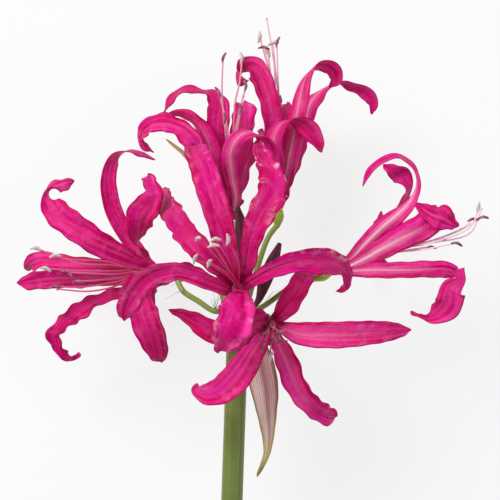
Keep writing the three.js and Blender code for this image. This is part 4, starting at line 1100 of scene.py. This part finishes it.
def add_bracteoles():
    """Fine hairs, curled among the pedicels."""
    shape = Shape()
    for tuft, (start, reach, count) in enumerate(TUFTS):
        for hair in range(count):
            seed = 1.7 * hair + 5 * tuft
            knots = []
            for step in range(HAIR_STEPS + 1):
                share = step / HAIR_STEPS
                across = start[0] + reach[0] * share
                across += HAIR_CURL * (sin(seed + 2.6 * share) - sin(seed))
                down = start[1] + reach[1] * share
                down += HAIR_CURL * (sin(1.3 * seed + 3.1 * share) - sin(1.3 * seed))
                near = start[2] + reach[2] * share
                knots.append([*place([across, down, near]), HAIR_RADIUS * (1.2 - share)])
            add_rod(shape, knots, 4 * HAIR_STEPS, ONLY, sides=5)
    return shape


tepal_faces = [
    tepal_surface("tepal_inner", (220, 0, 108), (242, 84, 168), (158, 0, 70), (222, 16, 152),
                  (234, 116, 176), 0.3),
    tepal_surface("tepal_outer", (216, 8, 110), (240, 86, 162), (164, 0, 78), (222, 34, 152),
                  (250, 206, 226), 0.22),
]
stamen_skins = [
    filament_surface(),
    anther_surface("open_anther", (198, 178, 172), (228, 218, 208)),
    anther_surface("old_anther", (122, 54, 80), (180, 130, 146)),
]
stalk_skins = [
    stalk_surface("stalk", (102, 118, 46), (130, 150, 62), (164, 180, 94), (140, 122, 82), 0.35),
    stalk_surface("ovary", (112, 140, 28), (148, 172, 44), (186, 200, 96), (156, 168, 60), 0.2),
]
scape_skin = stalk_surface("scape", (88, 104, 36), (102, 118, 44), (126, 140, 70), (150, 150, 100), 0.01)
papers = {
    "front": papery_surface("spathe_front", (236, 216, 204), (150, 92, 112), (118, 96, 66),
                            (160, 166, 70), (132, 126, 70)),
    "back": papery_surface("spathe_back", (196, 186, 150), (150, 128, 110), (160, 168, 84),
                           (196, 206, 122), (204, 212, 140)),
}
hair_skin = papery_surface("bracteole", HAIR, (104, 80, 80), HAIR, HAIR, HAIR)
bud_skin = bud_surface((60, 22, 34), (112, 44, 66), (98, 110, 48))

scape = Shape()
add_scape(scape)
scape.piece("scape_skin", [scape_skin], "scape", "scape")

for side, rows in SPATHES.items():
    valve = Shape()
    add_blade(valve, placed_rows(rows), PAPER_CUP, PAPER_RUFFLE, 2, PAPER, (ONLY, ONLY),
              lambda share: PLAIN)
    valve.piece(f"spathe_{side}_valve", [papers[side]], "spathe", f"spathe_{side}")

for side, bud in BUDS.items():
    withered = Shape()
    add_bud(withered, *bud)
    withered.piece(f"withered_bud_{side}", [bud_skin], "bud", f"bud_{side}")

for index, (name, floret) in enumerate(FLORETS.items()):
    petals = Shape()
    add_tepals(petals, floret, TEPALS[name], FLAPS.get(name, []), 10 * index)
    petals.piece(f"{name}_petals", tepal_faces, "tepal", f"{name}_tepals")
    threads = Shape()
    add_stamens(threads, floret, STAMENS[name])
    threads.piece(f"{name}_threads", stamen_skins, "stamen", f"{name}_stamens")
    stalk = Shape()
    add_pedicel(stalk, floret)
    stalk.piece(f"{name}_stalk", stalk_skins, "pedicel", f"{name}_pedicel")

hairs = add_bracteoles()
hairs.piece("bracteoles", [hair_skin], "spathe", None)

add_floor()
add_camera()
for name, lamp in LAMPS.items():
    add_lamp(name, **lamp)
world = bpy.data.worlds.new("studio")
world.use_nodes = True
sky = world.node_tree.nodes["Background"].inputs
sky["Color"].default_value = (1, 1, 1, 1)
sky["Strength"].default_value = SKY
bpy.context.scene.world = world
bpy.context.scene.view_settings.view_transform = "Standard"
